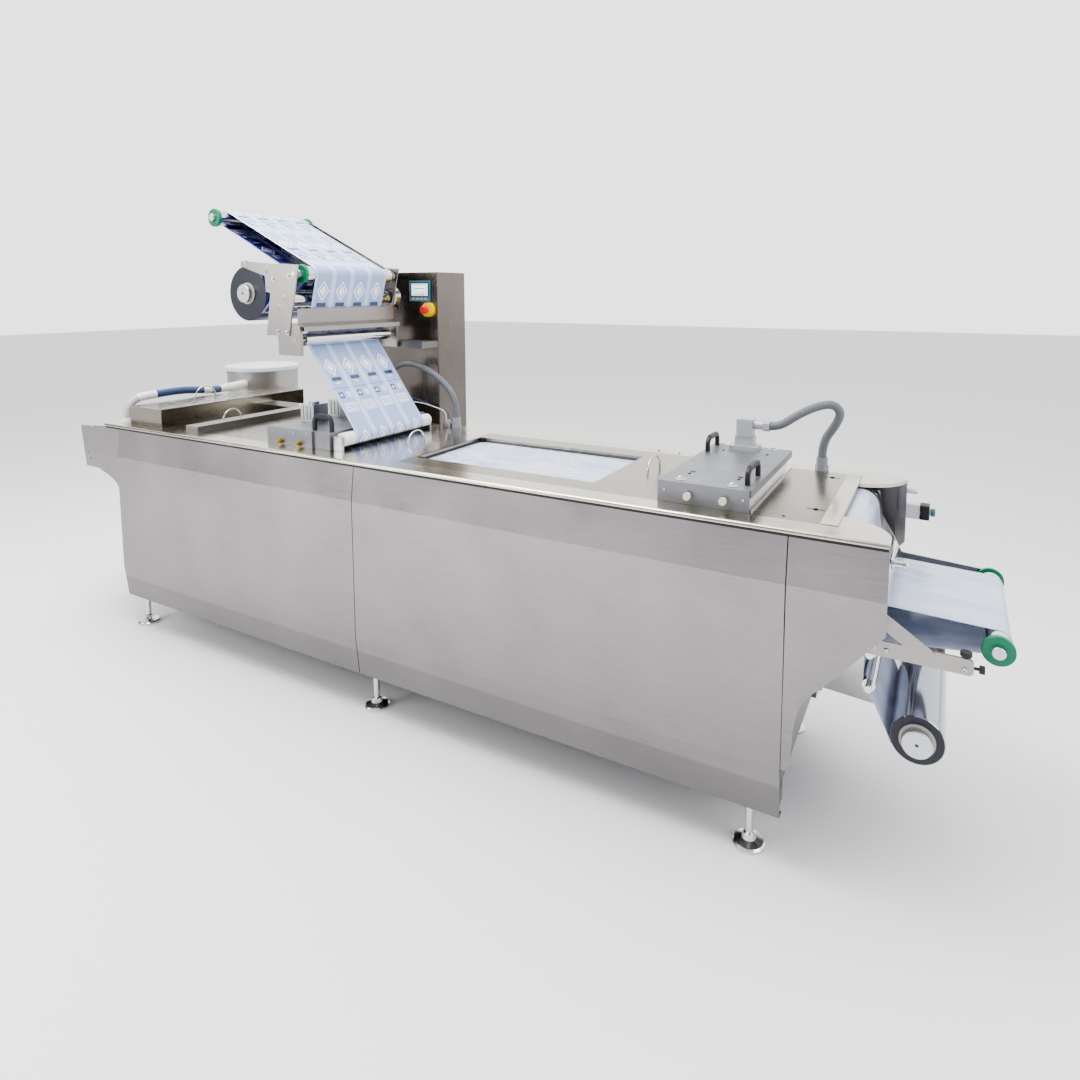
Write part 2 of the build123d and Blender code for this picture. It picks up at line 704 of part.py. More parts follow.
def films():
    top = [
        (UPPER_REEL, UPPER_REEL_RADIUS, ANTICLOCKWISE),
        (UPPER_IDLER, IDLER_RADIUS, ANTICLOCKWISE),
        (UPPER_TENSION, ROLLER_RADIUS, CLOCKWISE),
        (UPPER_TURN, ROLLER_RADIUS, CLOCKWISE),
        (LOWER_TURN, LOWER_TURN_RADIUS, ANTICLOCKWISE),
        (SEAL_ROLLER, SEAL_ROLLER_RADIUS, CLOCKWISE),
        ((SEAL_ROLLER[0] - 33, DECK_TOP + 3), 0, 0),
    ]
    parts["top_film"] = film(top)
    bottom = [
        (LOWER_REEL, LOWER_REEL_RADIUS, CLOCKWISE),
        (LOW_IDLER, IDLER_RADIUS, CLOCKWISE),
        (HIGH_IDLER, IDLER_RADIUS, CLOCKWISE),
        (INFEED_TENSION, ROLLER_RADIUS, ANTICLOCKWISE),
        (INFEED_GUIDE, INFEED_GUIDE_RADIUS, CLOCKWISE),
        (DECK_ROLLER, DECK_ROLLER_RADIUS, ANTICLOCKWISE),
        ((COVER_START + 10, DECK_UNDERSIDE - 6), 0, 0),
    ]
    parts["bottom_film"] = film(bottom)


# Infeed


def infeed_frame():
    """The far arm with the rollers and the lower reel, and the near bar."""
    y0, y1 = INFEED_ARM_Y, INFEED_ARM_Y + INFEED_ARM
    start = END_PANEL_X + PANEL_SHEET + SEAT
    end = BODY_LENGTH
    outline = [
        (start, 220),
        (end + 220, 204),
        (end + 340, 270),
        (end + 400, 340),
        (end + 404, 470),
        (end + 270, 640),
        (end + 535, 698),
        (end + 552, 730),
        (end + 538, 758),
        (end + 256, 776),
        (end + 190, 900),
        (end + 180, 980),
        (start, 980),
    ]
    arm = slab(outline, "Y", y0, y1)
    for centre in (INFEED_TENSION, INFEED_GUIDE, LOW_IDLER, HIGH_IDLER, DECK_ROLLER):
        arm -= rod("Y", SHAFT_RADIUS + RUNNING_FIT, centre, 0, HALF)
    arm -= rod("Y", REEL_SHAFT_RADIUS + RUNNING_FIT, LOWER_REEL, 0, HALF)
    parts["infeed_arm_back"] = arm
    outer = NEAR_BAR_Y + NEAR_BAR
    near = block(start, NEAR_BAR_REACH, -outer, -NEAR_BAR_Y, 668, 712)
    near = fillet(near.edges().filter_by(Axis.Y).group_by(Axis.X)[-1], 12)
    parts["infeed_bar_front"] = near
    lever = Plane.XZ * SlotCenterToCenter(150, 40)
    lever = Pos(end + 290, -outer - SEAT, 742) * Rot(0, 33, 0) * extrude(lever, amount=4)
    parts["splice_lever"] = lever
    middle = (-NEAR_BAR_Y - NEAR_BAR / 2, 690)
    head = NEAR_BAR_REACH + 12
    screw = rod("X", 4, middle, NEAR_BAR_REACH + SEAT, head)
    grip = Plane((head, *middle), z_dir=(1, 0, 0)) * RegularPolygon(12, 6)
    parts["thumb_screw"] = screw + extrude(grip, amount=13)


def infeed_rollers():
    tip = ROLLER_LENGTH / 2 + CAP_THICKNESS + 12
    outer = INFEED_ARM_Y + INFEED_ARM
    sizes = [
        (INFEED_TENSION, ROLLER_RADIUS),
        (INFEED_GUIDE, INFEED_GUIDE_RADIUS),
        (DECK_ROLLER, DECK_ROLLER_RADIUS),
        (LOW_IDLER, IDLER_RADIUS),
        (HIGH_IDLER, IDLER_RADIUS),
    ]
    rollers = [capped_roller(centre, -tip, outer, radius) for centre, radius in sizes]
    parts["infeed_rollers"] = together(rollers)


def air_regulator():
    x = CHEEK_END
    y = HALF - PANEL_LEAN
    plug = rod("X", 9, (y + 4, 962), x + SEAT, x + 34)
    body = block(x + SEAT, x + 44, y - 12, y + 28, 868, 918)
    cap = rod("X", 24, (y + 8, 893), x + 44, x + 74)
    knob = rod("X", 12, (y + 8, 893), x + 74, x + 92)
    parts["air_regulator"] = together([body + cap + knob, plug])


# Cabinet


def cabinet():
    x1 = CABINET_RIGHT
    x0 = x1 - CABINET_WIDTH
    y0 = CABINET_FRONT
    y1 = y0 + CABINET_DEPTH
    case = block(x0, x1, y0, y1, BODY_BOTTOM, CABINET_TOP)
    case = fillet(case.edges().filter_by(Axis.Z), 6)
    parts["control_cabinet"] = case
    panel = block(1166, 1297, y0 - 8, y0, 1617, 1720)
    panel = fillet(panel.edges().filter_by(Axis.Y), 5)
    panel -= block(1176, 1287, y0 - 9, y0 - 6, 1640, 1710)
    parts["operator_panel"] = panel
    stop = (1289, 1576)
    parts["emergency_stop_base"] = ring("Y", 35, 9, stop, y0 - 22, y0)
    stem = rod("Y", 8, stop, y0 - 40, y0 - 4)
    head = rod("Y", 20, stop, y0 - 58, y0 - 38)
    head = fillet(head.edges().filter_by(GeomType.CIRCLE).sort_by(Axis.Y)[0], 7)
    parts["emergency_stop_button"] = head + stem
    ledge = block(1128, x1 - 4, UNWINDER_HALF + UNWINDER_PLATE + SEAT, y0, 1392, 1424)
    beams = [ledge, rod("Y", 12, (1040, 1500), -UNWINDER_HALF + SEAT, UNWINDER_HALF - SEAT)]
    for x, z in ((880, 1660), (1060, 1750)):
        beams.append(rod("Y", 20, (x, z), UNWINDER_HALF + UNWINDER_PLATE + SEAT, y0))
    for x in (x0 + 80, x1 - 140):
        for z in (400, 700):
            beams.append(block(x, x + 60, HALF, y0, z, z + 40))
    parts["unwinder_supports"] = together(beams)


def trim_drum():
    x, y = DRUM_PLACE
    wall = 4
    shell = ring("Z", DRUM_RADIUS, DRUM_RADIUS - wall, (x, y), wall, DRUM_TOP)
    shell += rod("Z", DRUM_RADIUS, (x, y), 0, wall)
    shell += ring("Z", DRUM_RADIUS + 4, DRUM_RADIUS - wall, (x, y), DRUM_TOP - 14, DRUM_TOP - 4)
    parts["trim_drum"] = shell
    lid = rod("Z", DRUM_RADIUS + 10, (x, y), DRUM_TOP + SEAT, DRUM_TOP + 30)
    parts["trim_drum_lid"] = fillet(lid.edges().filter_by(GeomType.CIRCLE), 8)


# Conduits and the trim hose


def free_cord(name, points, radius):
    """A tube of straight runs joined by arcs as large as the runs allow."""
    radii = []
    for before, corner, after in zip(points, points[1:], points[2:]):
        arrive = Vector(*corner) - Vector(*before)
        leave = Vector(*after) - Vector(*corner)
        turn = radians(arrive.get_angle(leave))
        radii.append(0.45 * min(arrive.length, leave.length) / tan(turn / 2))
    path = FilletPolyline(*points, radius=radii)
    start = Plane(points[0], z_dir=Vector(*points[1]) - Vector(*points[0]))
    tube = sweep(start * Circle(radius), path=path)
    share = tube.volume / (pi * radius**2 * path.length)
    print(name, "length", round(path.length), "radii", [round(r) for r in radii], "volume", round(share, 4))
    parts[name] = tube


def gland(x, y, z, height):
    """A cable gland: a hexagon under a round dome nut."""
    nut = Pos(x, y, z) * extrude(RegularPolygon(CONDUIT_RADIUS + 8, 6), amount=height * 0.4)
    return nut + rod("Z", CONDUIT_RADIUS + 4, (x, y), z + height * 0.4, z + height)


def conduits():
    deck_gland = DECK_TOP + GLAND_HEIGHT
    x, y = CONNECTOR_PLACE
    outlet = FORMING_TOP + CONNECTOR_OUTLET
    forming = [
        (x + 90, y, outlet),
        (x + 122, y, outlet),
        (x + 185, y + 13, 1224),
        (x + 245, y + 32, 1256),
        (x + 298, y + 46, 1268),
        (x + 326, y + 60, 1236),
        (x + 306, y + 74, 1186),
        (*FORMING_GLAND, 1118),
        (*FORMING_GLAND, deck_gland),
    ]
    free_cord("forming_conduit", forming, CONDUIT_RADIUS)
    x, y = BLOCK_GLAND
    sealing = [
        (x, y, SEALING_TOP + BLOCK_GLAND_HEIGHT),
        (x, y, 1205),
        (x + 30, y + 30, 1296),
        (x + 110, y + 62, 1322),
        (x + 205, y + 82, 1286),
        (x + 278, y + 92, 1240),
        (x + 334, y + 98, 1186),
        (*SEALING_GLAND, 1126),
        (*SEALING_GLAND, deck_gland),
    ]
    free_cord("sealing_conduit", sealing, CONDUIT_RADIUS)
    glands = [gland(*place, DECK_TOP, GLAND_HEIGHT) for place in (FORMING_GLAND, SEALING_GLAND)]
    glands.append(gland(*BLOCK_GLAND, SEALING_TOP, BLOCK_GLAND_HEIGHT))
    parts["conduit_glands"] = together(glands)


def trim_hose():
    """The hose from the slitters to the drum, with its deck flange and drum coupling."""
    x, y = HOSE_FLANGE
    flange_top = DECK_TOP + 20
    away = Vector(0.364, -0.931, 0).normalized()
    drum = Vector(*DRUM_PLACE, HOSE_PORT)
    mouth = drum + away * (DRUM_RADIUS + HOSE_COUPLING)
    before = mouth + away * 78
    points = [
        (x, y, flange_top),
        (x, y, 1090),
        (x + 12, y + 50, 1132),
        (x + 29, y + 125, 1138),
        (x + 31, y + 265, 1143),
        (x + 14, y + 385, 1128),
        (before.X, before.Y, before.Z),
        (mouth.X, mouth.Y, mouth.Z),
    ]
    free_cord("trim_hose", points, HOSE_RADIUS)
    flange = rod("Z", 30, (x, y), DECK_TOP, DECK_TOP + 8)
    flange += rod("Z", HOSE_RADIUS + 2, (x, y), DECK_TOP + 8, flange_top)
    sleeve = Plane(mouth, z_dir=-away) * Circle(HOSE_RADIUS + 2)
    coupling = extrude(sleeve, amount=HOSE_COUPLING + DRUM_RADIUS / 2)
    coupling -= rod("Z", DRUM_RADIUS + SEAT, DRUM_PLACE, HOSE_PORT - 60, HOSE_PORT + 38)
    parts["hose_fittings"] = together([flange, coupling])


def build():
    body_panels()
    cheeks()
    side_frames()
    cross_tubes()
    levelling_feet()
    end_panels()
    deck_rails()
    chain_rails()
    deck_plates()
    outfeed_chute()
    handles()
    forming_station()
    sealing_station()
    seal_roller()
    cutting_stations()
    unwinder_frame()
    tension_arms()
    upper_rollers()
    reels()
    films()
    infeed_frame()
    infeed_rollers()
    air_regulator()
    cabinet()
    trim_drum()
    conduits()
    trim_hose()


build()
box = together(parts.values()).bounding_box()
middle = Vector((box.min.X + box.max.X) / 2, (box.min.Y + box.max.Y) / 2, box.min.Z)
print("origin in the machine's own frame", middle)
print("size", box.size)
os.makedirs("parts", exist_ok=True)
for name, shape in parts.items():
    export_step(Pos(-middle.X, -middle.Y, -middle.Z) * shape, "parts/" + name + ".step")
print(len(parts), "nodes")
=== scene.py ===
# %% [markdown]
# # A rollstock thermoforming machine
#
# The machine pulls clear film off a low reel at the right, presses pockets into it
# with heat, leaves them open for a person to load, lays a printed film on top from a
# high reel, seals the two, and cuts the packs apart at the left.
#
# The solids of the frame already have the right size and place. This file gives them
# their surfaces and adds what is too fine or too soft for them: ribbed conduits, the
# printed film with its motifs, wound reels, screws, slots and the screen.

# %% Load the frame
import json
from math import asin, atan2, cos, hypot, pi, radians, sin

import bmesh
import bpy
from mathutils import Matrix, Vector, noise

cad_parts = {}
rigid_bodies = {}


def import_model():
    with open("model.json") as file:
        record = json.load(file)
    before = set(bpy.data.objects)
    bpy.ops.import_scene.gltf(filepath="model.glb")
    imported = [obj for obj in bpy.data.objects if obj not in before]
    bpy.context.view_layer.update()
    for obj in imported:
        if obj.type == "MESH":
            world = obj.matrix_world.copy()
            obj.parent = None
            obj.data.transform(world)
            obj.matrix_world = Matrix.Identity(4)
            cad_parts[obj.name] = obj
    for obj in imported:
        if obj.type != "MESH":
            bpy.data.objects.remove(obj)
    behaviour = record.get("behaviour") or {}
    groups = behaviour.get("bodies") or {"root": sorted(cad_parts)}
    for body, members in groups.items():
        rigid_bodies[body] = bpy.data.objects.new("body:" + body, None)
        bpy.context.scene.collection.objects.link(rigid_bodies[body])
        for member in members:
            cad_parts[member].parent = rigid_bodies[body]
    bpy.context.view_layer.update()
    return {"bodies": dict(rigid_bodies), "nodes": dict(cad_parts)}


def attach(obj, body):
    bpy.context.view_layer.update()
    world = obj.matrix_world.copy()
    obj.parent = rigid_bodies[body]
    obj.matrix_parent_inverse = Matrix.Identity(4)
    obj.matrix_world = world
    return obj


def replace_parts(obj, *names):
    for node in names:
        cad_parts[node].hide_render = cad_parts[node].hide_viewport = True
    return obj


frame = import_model()
BODY = list(frame["bodies"])[0]
print(len(frame["nodes"]), "nodes ride on", BODY)

# %% [markdown]
# ## Where things are
#
# The machine's drawing measures in millimetres from the left end of its front panels,
# the middle of the film and the floor. The scene measures in metres from the middle of
# the whole machine. One small function carries a point of the drawing over.

# %% Drawing to scene
DRAWING_MIDDLE = (1644.5, 230)
MM = 0.001


def spot(x, y, z):
    """A point of the drawing, in millimetres, as a place in the scene."""
    return Vector((x - DRAWING_MIDDLE[0], y - DRAWING_MIDDLE[1], z)) * MM


print("the corner of the left panel is at", tuple(spot(0, -400, 1000)))

# %% [markdown]
# ## The camera
#
# It stands at a person's height in front of the right end and looks along the machine
# with a wide lens. The lens is shifted a little, because the machine doesn't sit in the
# middle of its picture.

# %% Camera
CAMERA_PLACE = (1.92828, -2.55541, 1.6649)
CAMERA_TURN = (84.44, 0.0, 28.25)
SENSOR_WIDTH = 36
LENS = 23.47
SHIFT = (-0.0311, -0.1665)

camera_data = bpy.data.cameras.new("camera")
camera_data.sensor_width = SENSOR_WIDTH
camera_data.lens = LENS
camera_data.shift_x, camera_data.shift_y = SHIFT
camera = bpy.data.objects.new("camera", camera_data)
camera.location = CAMERA_PLACE
camera.rotation_euler = [radians(a) for a in CAMERA_TURN]
bpy.context.scene.collection.objects.link(camera)
bpy.context.scene.camera = camera
print("camera at", CAMERA_PLACE)

# %% [markdown]
# ## Colours and nodes
#
# Colours are written as they look on a screen, in hex, and the renderer wants them
# linear, so one function turns them over. Another adds a node, sets it and joins it up.


# %% Colour and node helpers
def colour(hex_code):
    """A screen colour such as 8A8F94 as linear red, green, blue and alpha."""
    parts = [int(hex_code[i : i + 2], 16) / 255 for i in (0, 2, 4)]
    linear = [p / 12.92 if p <= 0.04045 else ((p + 0.055) / 1.055) ** 2.4 for p in parts]
    return (*linear, 1.0)


def add_node(tree, kind, inputs=None, **settings):
    """Adds a node with its settings. Each input is a number, a colour or a socket."""
    made = tree.nodes.new(kind)
    for name, value in settings.items():
        setattr(made, name, value)
    for name, value in (inputs or {}).items():
        if isinstance(value, bpy.types.NodeSocket):
            tree.links.new(value, made.inputs[name])
        else:
            made.inputs[name].default_value = value
    return made


def new_material(name):
    """An empty material, its node tree and the shader that its surface uses."""
    made = bpy.data.materials.new(name)
    made.use_nodes = True
    return made, made.node_tree, made.node_tree.nodes["Principled BSDF"]


print("mid grey is", [round(c, 3) for c in colour("808080")])

# %% [markdown]
# ## Floor and light
#
# A plain pale floor and broad soft lamps. Bare steel only looks like steel if there is
# something for it to mirror, so the sky isn't the same all round. The deck mirrors the
# white sky behind the machine. In front the sky is bright near the floor, dark above
# that and bright overhead: the upper band of a panel leans back and mirrors its low
# part, and the rest of the panel mirrors the floor. A view with more contrast than
# Blender's usual one gives the crisp tones of a catalogue picture.

# %% Floor
FLOOR_HALF = 30
floor_shape = bmesh.new()
bmesh.ops.create_grid(floor_shape, x_segments=1, y_segments=1, size=FLOOR_HALF)
floor_mesh = bpy.data.meshes.new("studio_floor")
floor_shape.to_mesh(floor_mesh)
floor_shape.free()
floor = bpy.data.objects.new("studio_floor", floor_mesh)
bpy.context.scene.collection.objects.link(floor)
paper, tree, shader = new_material("studio_paper")
shader.inputs["Base Color"].default_value = colour("F4F4F5")
shader.inputs["Roughness"].default_value = 0.9
floor_mesh.materials.append(paper)
print("a floor", 2 * FLOOR_HALF, "m wide")

# %% Sky
# How high in the sky in front, from level at 0 to overhead at 1, and the tone there.
SKY_TONES = ((0.0, "B9B9BE"), (0.1, "97979C"), (0.3, "545458"), (0.75, "B7B7BA"))
SKY_STRENGTH = 1.75
# The white sky behind the machine starts and is whole at these places, front to back.
WHITE_FROM, WHITE_TO = -0.1, 0.35

world = bpy.data.worlds.new("studio")
world.use_nodes = True
bpy.context.scene.world = world
tree = world.node_tree
way = add_node(tree, "ShaderNodeTexCoord")
height = add_node(tree, "ShaderNodeSeparateXYZ", {"Vector": way.outputs["Generated"]})
sky = add_node(tree, "ShaderNodeValToRGB", {"Fac": height.outputs["Z"]})
ramp = sky.color_ramp.elements
ramp[1].position = SKY_TONES[-1][0]
for up, _ in SKY_TONES[1:-1]:
    ramp.new(up)
for stop, (_, tone) in zip(ramp, SKY_TONES):
    stop.color = colour(tone)
turning = {0: height.outputs["Y"], 1: WHITE_FROM, 2: WHITE_TO}
behind = add_node(tree, "ShaderNodeMapRange", turning)
sky = add_node(
    tree,
    "ShaderNodeMix",
    {0: behind.outputs[0], 6: sky.outputs["Color"], 7: colour("FFFFFF")},
    data_type="RGBA",
)
tree.links.new(sky.outputs[2], tree.nodes["Background"].inputs["Color"])
tree.nodes["Background"].inputs["Strength"].default_value = SKY_STRENGTH
print("a sky of", len(SKY_TONES), "greys and a white")


# %% Lamps
def soft_lamp(name, place, aim, size, power):
    """A square lamp at a place, turned to face a point."""
    data = bpy.data.lights.new(name, "AREA")
    data.shape = "RECTANGLE"
    data.size, data.size_y = size
    data.energy = power
    made = bpy.data.objects.new(name, data)
    made.location = place
    made.rotation_euler = (Vector(aim) - Vector(place)).to_track_quat("-Z", "Y").to_euler()
    bpy.context.scene.collection.objects.link(made)
    return made


soft_lamp("lamp_over", (-0.9, -0.9, 4.4), (-0.2, 0.1, 0.6), (3.6, 2.2), 230)
soft_lamp("lamp_front", (-3.2, -4.4, 2.7), (-0.9, 0, 0.7), (2.8, 2.0), 120)
soft_lamp("lamp_end", (4.8, -1.2, 2.6), (1.4, 0, 0.8), (2.6, 2.2), 70)
bpy.context.scene.view_settings.look = "AgX - Medium High Contrast"
print("three lamps")

# %% [markdown]
# ## Stainless steel
#
# Most of the machine is stainless sheet, 304, with a fine ground finish. A wide belt
# drags grit along the sheet and leaves scratches tenths of a millimetre apart. They
# spread a highlight across their own direction and hide finger marks. The scratches
# here are a noise stretched along the grain, drawn a millimetre or two apart, because
# finer ones would vanish at this size. Near the floor a panel mirrors the machine's own
# shadow, so its colour is painted darker downwards, and once more in a band along its
# foot: a painted reflection of that shadow.


# %% Ground stainless sheet
MATH = "ShaderNodeMath"
# Heights above the floor, in metres: where the painted shade starts and ends, and the
# upper edge of the painted band along the foot. Then how much of the tint is left in that band.
SHADOW_FROM, SHADOW_TO = 0.3, 0.95
BAND_EDGE = (0.252, 0.262)
FOOT_BAND_SHADE = 0.8
# How many there are to a metre: scratches across the grain, faint clouds and specks.
# A scratch is drawn STRETCH times as long as it is wide.
SCRATCHES, CLOUDS, SPECKS = 660, 3.2, 420
STRETCH = 60


def ground_steel(name, tint, dull, grain=(1, STRETCH, STRETCH), foot=1.0):
    """Stainless sheet. grain stretches the scratches along the axis that has the 1.

    foot is how much of the tint is left near the floor, where the darkening is painted shade.
    """
    made, tree, shader = new_material(name)
    place = add_node(tree, "ShaderNodeTexCoord").outputs["Object"]
    turned = add_node(tree, "ShaderNodeMapping", {"Vector": place, "Scale": grain})
    lines = add_node(
        tree,
        "ShaderNodeTexNoise",
        {
            "Vector": turned.outputs[0],
            "Scale": SCRATCHES / STRETCH,
            "Detail": 5.0,
            "Roughness": 0.65,
        },
    )
    cloud = add_node(
        tree, "ShaderNodeTexNoise", {"Vector": place, "Scale": CLOUDS, "Detail": 3.0}
    )
    speck = add_node(
        tree, "ShaderNodeTexNoise", {"Vector": place, "Scale": SPECKS, "Detail": 2.0}
    )
    both = add_node(tree, MATH, {0: lines.outputs[0], 1: cloud.outputs[0]}, operation="ADD")
    tone = add_node(tree, "ShaderNodeMapRange", {0: both.outputs[0], 1: 0.72, 2: 1.28})
    light = [min(1.0, c * 1.1) for c in colour(tint)[:3]] + [1.0]
    dark = [c * 0.84 for c in colour(tint)[:3]] + [1.0]
    shade = add_node(
        tree, "ShaderNodeMix", {0: tone.outputs[0], 6: dark, 7: light}, data_type="RGBA"
    )
    # Painted shade: the tint darkens towards the floor and once more in a band along the foot,
    # standing for the machine's shadow that the sheet mirrors.
    if foot < 1:
        rise = add_node(tree, "ShaderNodeSeparateXYZ", {0: place})
        level = add_node(
            tree,
            "ShaderNodeMapRange",
            {0: rise.outputs["Z"], 1: SHADOW_FROM, 2: SHADOW_TO, 3: foot, 4: 1.0},
        )
        painted_foot_band = add_node(
            tree,
            "ShaderNodeMapRange",
            {0: rise.outputs["Z"], 1: BAND_EDGE[0], 2: BAND_EDGE[1], 3: FOOT_BAND_SHADE, 4: 1.0},
        )
        level = add_node(
            tree, MATH, {0: level.outputs[0], 1: painted_foot_band.outputs[0]}, operation="MULTIPLY"
        )
        shade = add_node(
            tree,
            "ShaderNodeMix",
            {0: 1.0, 6: shade.outputs[2], 7: level.outputs[0]},
            data_type="RGBA",
            blend_type="MULTIPLY",
        )
    tree.links.new(shade.outputs[2], shader.inputs["Base Color"])
    rough = add_node(
        tree,
        "ShaderNodeMapRange",
        {0: both.outputs[0], 1: 0.7, 2: 1.3, 3: dull - 0.06, 4: dull + 0.08},
    )
    tree.links.new(rough.outputs[0], shader.inputs["Roughness"])
    relief = add_node(tree, MATH, {0: lines.outputs[0], 1: speck.outputs[0]}, operation="ADD")
    bump = add_node(
        tree,
        "ShaderNodeBump",
        {"Height": relief.outputs[0], "Strength": 0.05, "Distance": MM},
    )
    tree.links.new(bump.outputs[0], shader.inputs["Normal"])
    shader.inputs["Metallic"].default_value = 1.0
    return made


print("scratches", round(1 / (SCRATCHES * MM), 1), "mm apart")

# %% Six sheets of stainless steel
# Belt-ground sheet: a blurred warm grey mirror with fine streaks along the machine.
# foot=0.7 paints it darker towards the floor: painted shade.
panel_steel = ground_steel("ground_stainless_panel", "A39F9F", 0.32, foot=0.7)
# Ground finer and wiped often: a clearer and yellower mirror.
deck_steel = ground_steel("ground_stainless_deck", "A29D91", 0.24)
# Rubbed bright by hands and trays: almost white where a lamp catches it.
rail_steel = ground_steel("bright_stainless_rail", "D6D0C2", 0.22)
# Ground from top to foot: dark, with upright streaks.
cabinet_steel = ground_steel(
    "ground_stainless_cabinet", "7B756F", 0.26, (STRETCH, STRETCH, 1)
)
# Cut plate, left matt: an even pale grey.
plate_steel = ground_steel("ground_stainless_plate", "A9A5A1", 0.36)
# The same sheet inside the machine, painted darker for the shade there: dark and dull.
painted_shade_steel = ground_steel("ground_stainless_painted_shade", "7C7A78", 0.42)
print("six sheets of stainless steel")

# %% [markdown]
# Rollers and shafts are turned and hard-chromed, so they mirror what is round them. The
# lift-out plate after the loading place is polished, with faint clouding from wiping.


# %% Polished and cast metals
# Grains to a metre. Real grit is far finer, and this is the finest that still shows.
GRIT = 900


def smooth_metal(name, tint, dull, clouds=30, metallic=1.0):
    """A metal that was polished, plated, cast or anodised.

    clouds is how many slightly duller patches there are to a metre.
    """
    made, tree, shader = new_material(name)
    place = add_node(tree, "ShaderNodeTexCoord").outputs["Object"]
    cloud = add_node(
        tree, "ShaderNodeTexNoise", {"Vector": place, "Scale": clouds, "Detail": 4.0}
    )
    grit = add_node(tree, "ShaderNodeTexNoise", {"Vector": place, "Scale": GRIT, "Detail": 1.0})
    shader.inputs["Base Color"].default_value = colour(tint)
    shader.inputs["Metallic"].default_value = metallic
    rough = add_node(
        tree, "ShaderNodeMapRange", {0: cloud.outputs[0], 1: 0.3, 2: 0.7, 3: dull, 4: dull * 1.5}
    )
    tree.links.new(rough.outputs[0], shader.inputs["Roughness"])
    bump = add_node(
        tree,
        "ShaderNodeBump",
        {"Height": grit.outputs[0], "Strength": dull / 4, "Distance": MM / 2},
    )
    tree.links.new(bump.outputs[0], shader.inputs["Normal"])
    return made


# Hard chrome: a sharp mirror, all dark and light bands.
chrome = smooth_metal("hard_chrome", "D8D8DA", 0.07)
# Buffed sheet: it mirrors the film above it, a little clouded.
polished_steel = smooth_metal("polished_stainless", "C9C8C8", 0.12, 12)
# Drawn bar: a bright line down every rod.
bright_steel = smooth_metal("bright_stainless_bar", "D5D4D2", 0.16)
# Etched, then anodised: an even blue grey with a satin sheen.
anodised = smooth_metal("satin_anodised_aluminium", "8B8D92", 0.34, 9, 0.8)
# Turned: pale, with a silky highlight.
pale_aluminium = smooth_metal("turned_aluminium", "C9CBCE", 0.28, 60)
# Pressure-cast: pale, dull and slightly grainy.
cast_hood = smooth_metal("cast_aluminium_hood", "B9BBBF", 0.42, 150, 0.7)
# Thin nickel over brass: small warm points.
brass = smooth_metal("nickelled_brass", "C8A75A", 0.22)
# Zinc-plated: small bright points.
zinc = smooth_metal("zinc_plated_steel", "C4C5C6", 0.25, 200)
print("eight smooth metals")

# %% [markdown]
# Plastics come next: moulded nylon handles and caps, silicone rubber on the sealing
# roller, and soft PVC on the hose. Each has its own gloss and a fine moulded grain.


# %% Plastics and rubber
# Moulded grain is a few tenths of a millimetre across. It is drawn coarser, to show.
GRAIN = 0.8 * MM
PATCH = 40 * MM


def moulded(name, tint, dull, ior=1.5):
    """A moulded plastic or rubber with a fine grain and slightly uneven colour."""
    made, tree, shader = new_material(name)
    place = add_node(tree, "ShaderNodeTexCoord").outputs["Object"]
    grain = add_node(
        tree, "ShaderNodeTexNoise", {"Vector": place, "Scale": 1 / GRAIN, "Detail": 2.0}
    )
    cloud = add_node(
        tree, "ShaderNodeTexNoise", {"Vector": place, "Scale": 1 / PATCH, "Detail": 3.0}
    )
    light = [min(1.0, c * 1.08 + 0.004) for c in colour(tint)[:3]] + [1.0]
    dark = [c * 0.9 for c in colour(tint)[:3]] + [1.0]
    shade = add_node(
        tree, "ShaderNodeMix", {0: cloud.outputs[0], 6: dark, 7: light}, data_type="RGBA"
    )
    tree.links.new(shade.outputs[2], shader.inputs["Base Color"])
    rough = add_node(
        tree,
        "ShaderNodeMapRange",
        {0: cloud.outputs[0], 1: 0.3, 2: 0.7, 3: dull - 0.04, 4: dull + 0.06},
    )
    tree.links.new(rough.outputs[0], shader.inputs["Roughness"])
    bump = add_node(
        tree,
        "ShaderNodeBump",
        {"Height": grain.outputs[0], "Strength": 0.08, "Distance": MM / 4},
    )
    tree.links.new(bump.outputs[0], shader.inputs["Normal"])
    shader.inputs["IOR"].default_value = ior
    return made


print("a grain of", GRAIN / MM, "mm")

# %% Fifteen plastics and rubbers
# Nylon: a soft shine over a fine grain.
black_nylon = moulded("black_nylon", "1B1B1D", 0.42)
green_nylon = moulded("green_nylon", "087352", 0.34)
cream_nylon = moulded("cream_nylon", "DCD6BC", 0.4)
grey_nylon = moulded("grey_nylon", "8D9197", 0.38)
# Silicone rubber: matt, and the whitest thing on the machine.
white_silicone = moulded("white_silicone_rubber", "EFEFEE", 0.5)
# ABS: glossier, in strong even colours.
red_plastic = moulded("red_plastic", "CE1C16", 0.3)
yellow_plastic = moulded("yellow_plastic", "E9C21A", 0.34)
teal_plastic = moulded("teal_screen_frame", "3E6E79", 0.36)
# Acrylic: pale and glossy.
lid_plastic = moulded("pale_lid_plastic", "C9D3DB", 0.3, ior=1.49)
# Conduit and hose: satin nylon, glossy PVC, and a clear wall that looks silvery because
# a steel wire is wound into it.
conduit_grey = moulded("grey_conduit_nylon", "6C6F74", 0.42)
hose_blue = moulded("blue_hose_pvc", "33486F", 0.36)
white_pvc = moulded("white_pvc", "E4E4E6", 0.35)
hose_clear = moulded("wire_wound_hose", "B9BABD", 0.28)
# Pressed card: buff and matt.
core_card = moulded("pressed_card", "BDB8AC", 0.6)
# Rubber for the screen rim: nearly black, with no shine. The same dark paints the
# shadow under the deck rails and the shade in the gaps beside the film.
rubber_and_painted_gap_shade = moulded("rubber_and_painted_gap_shade", "232427", 0.6)
print("fifteen plastics and rubbers")

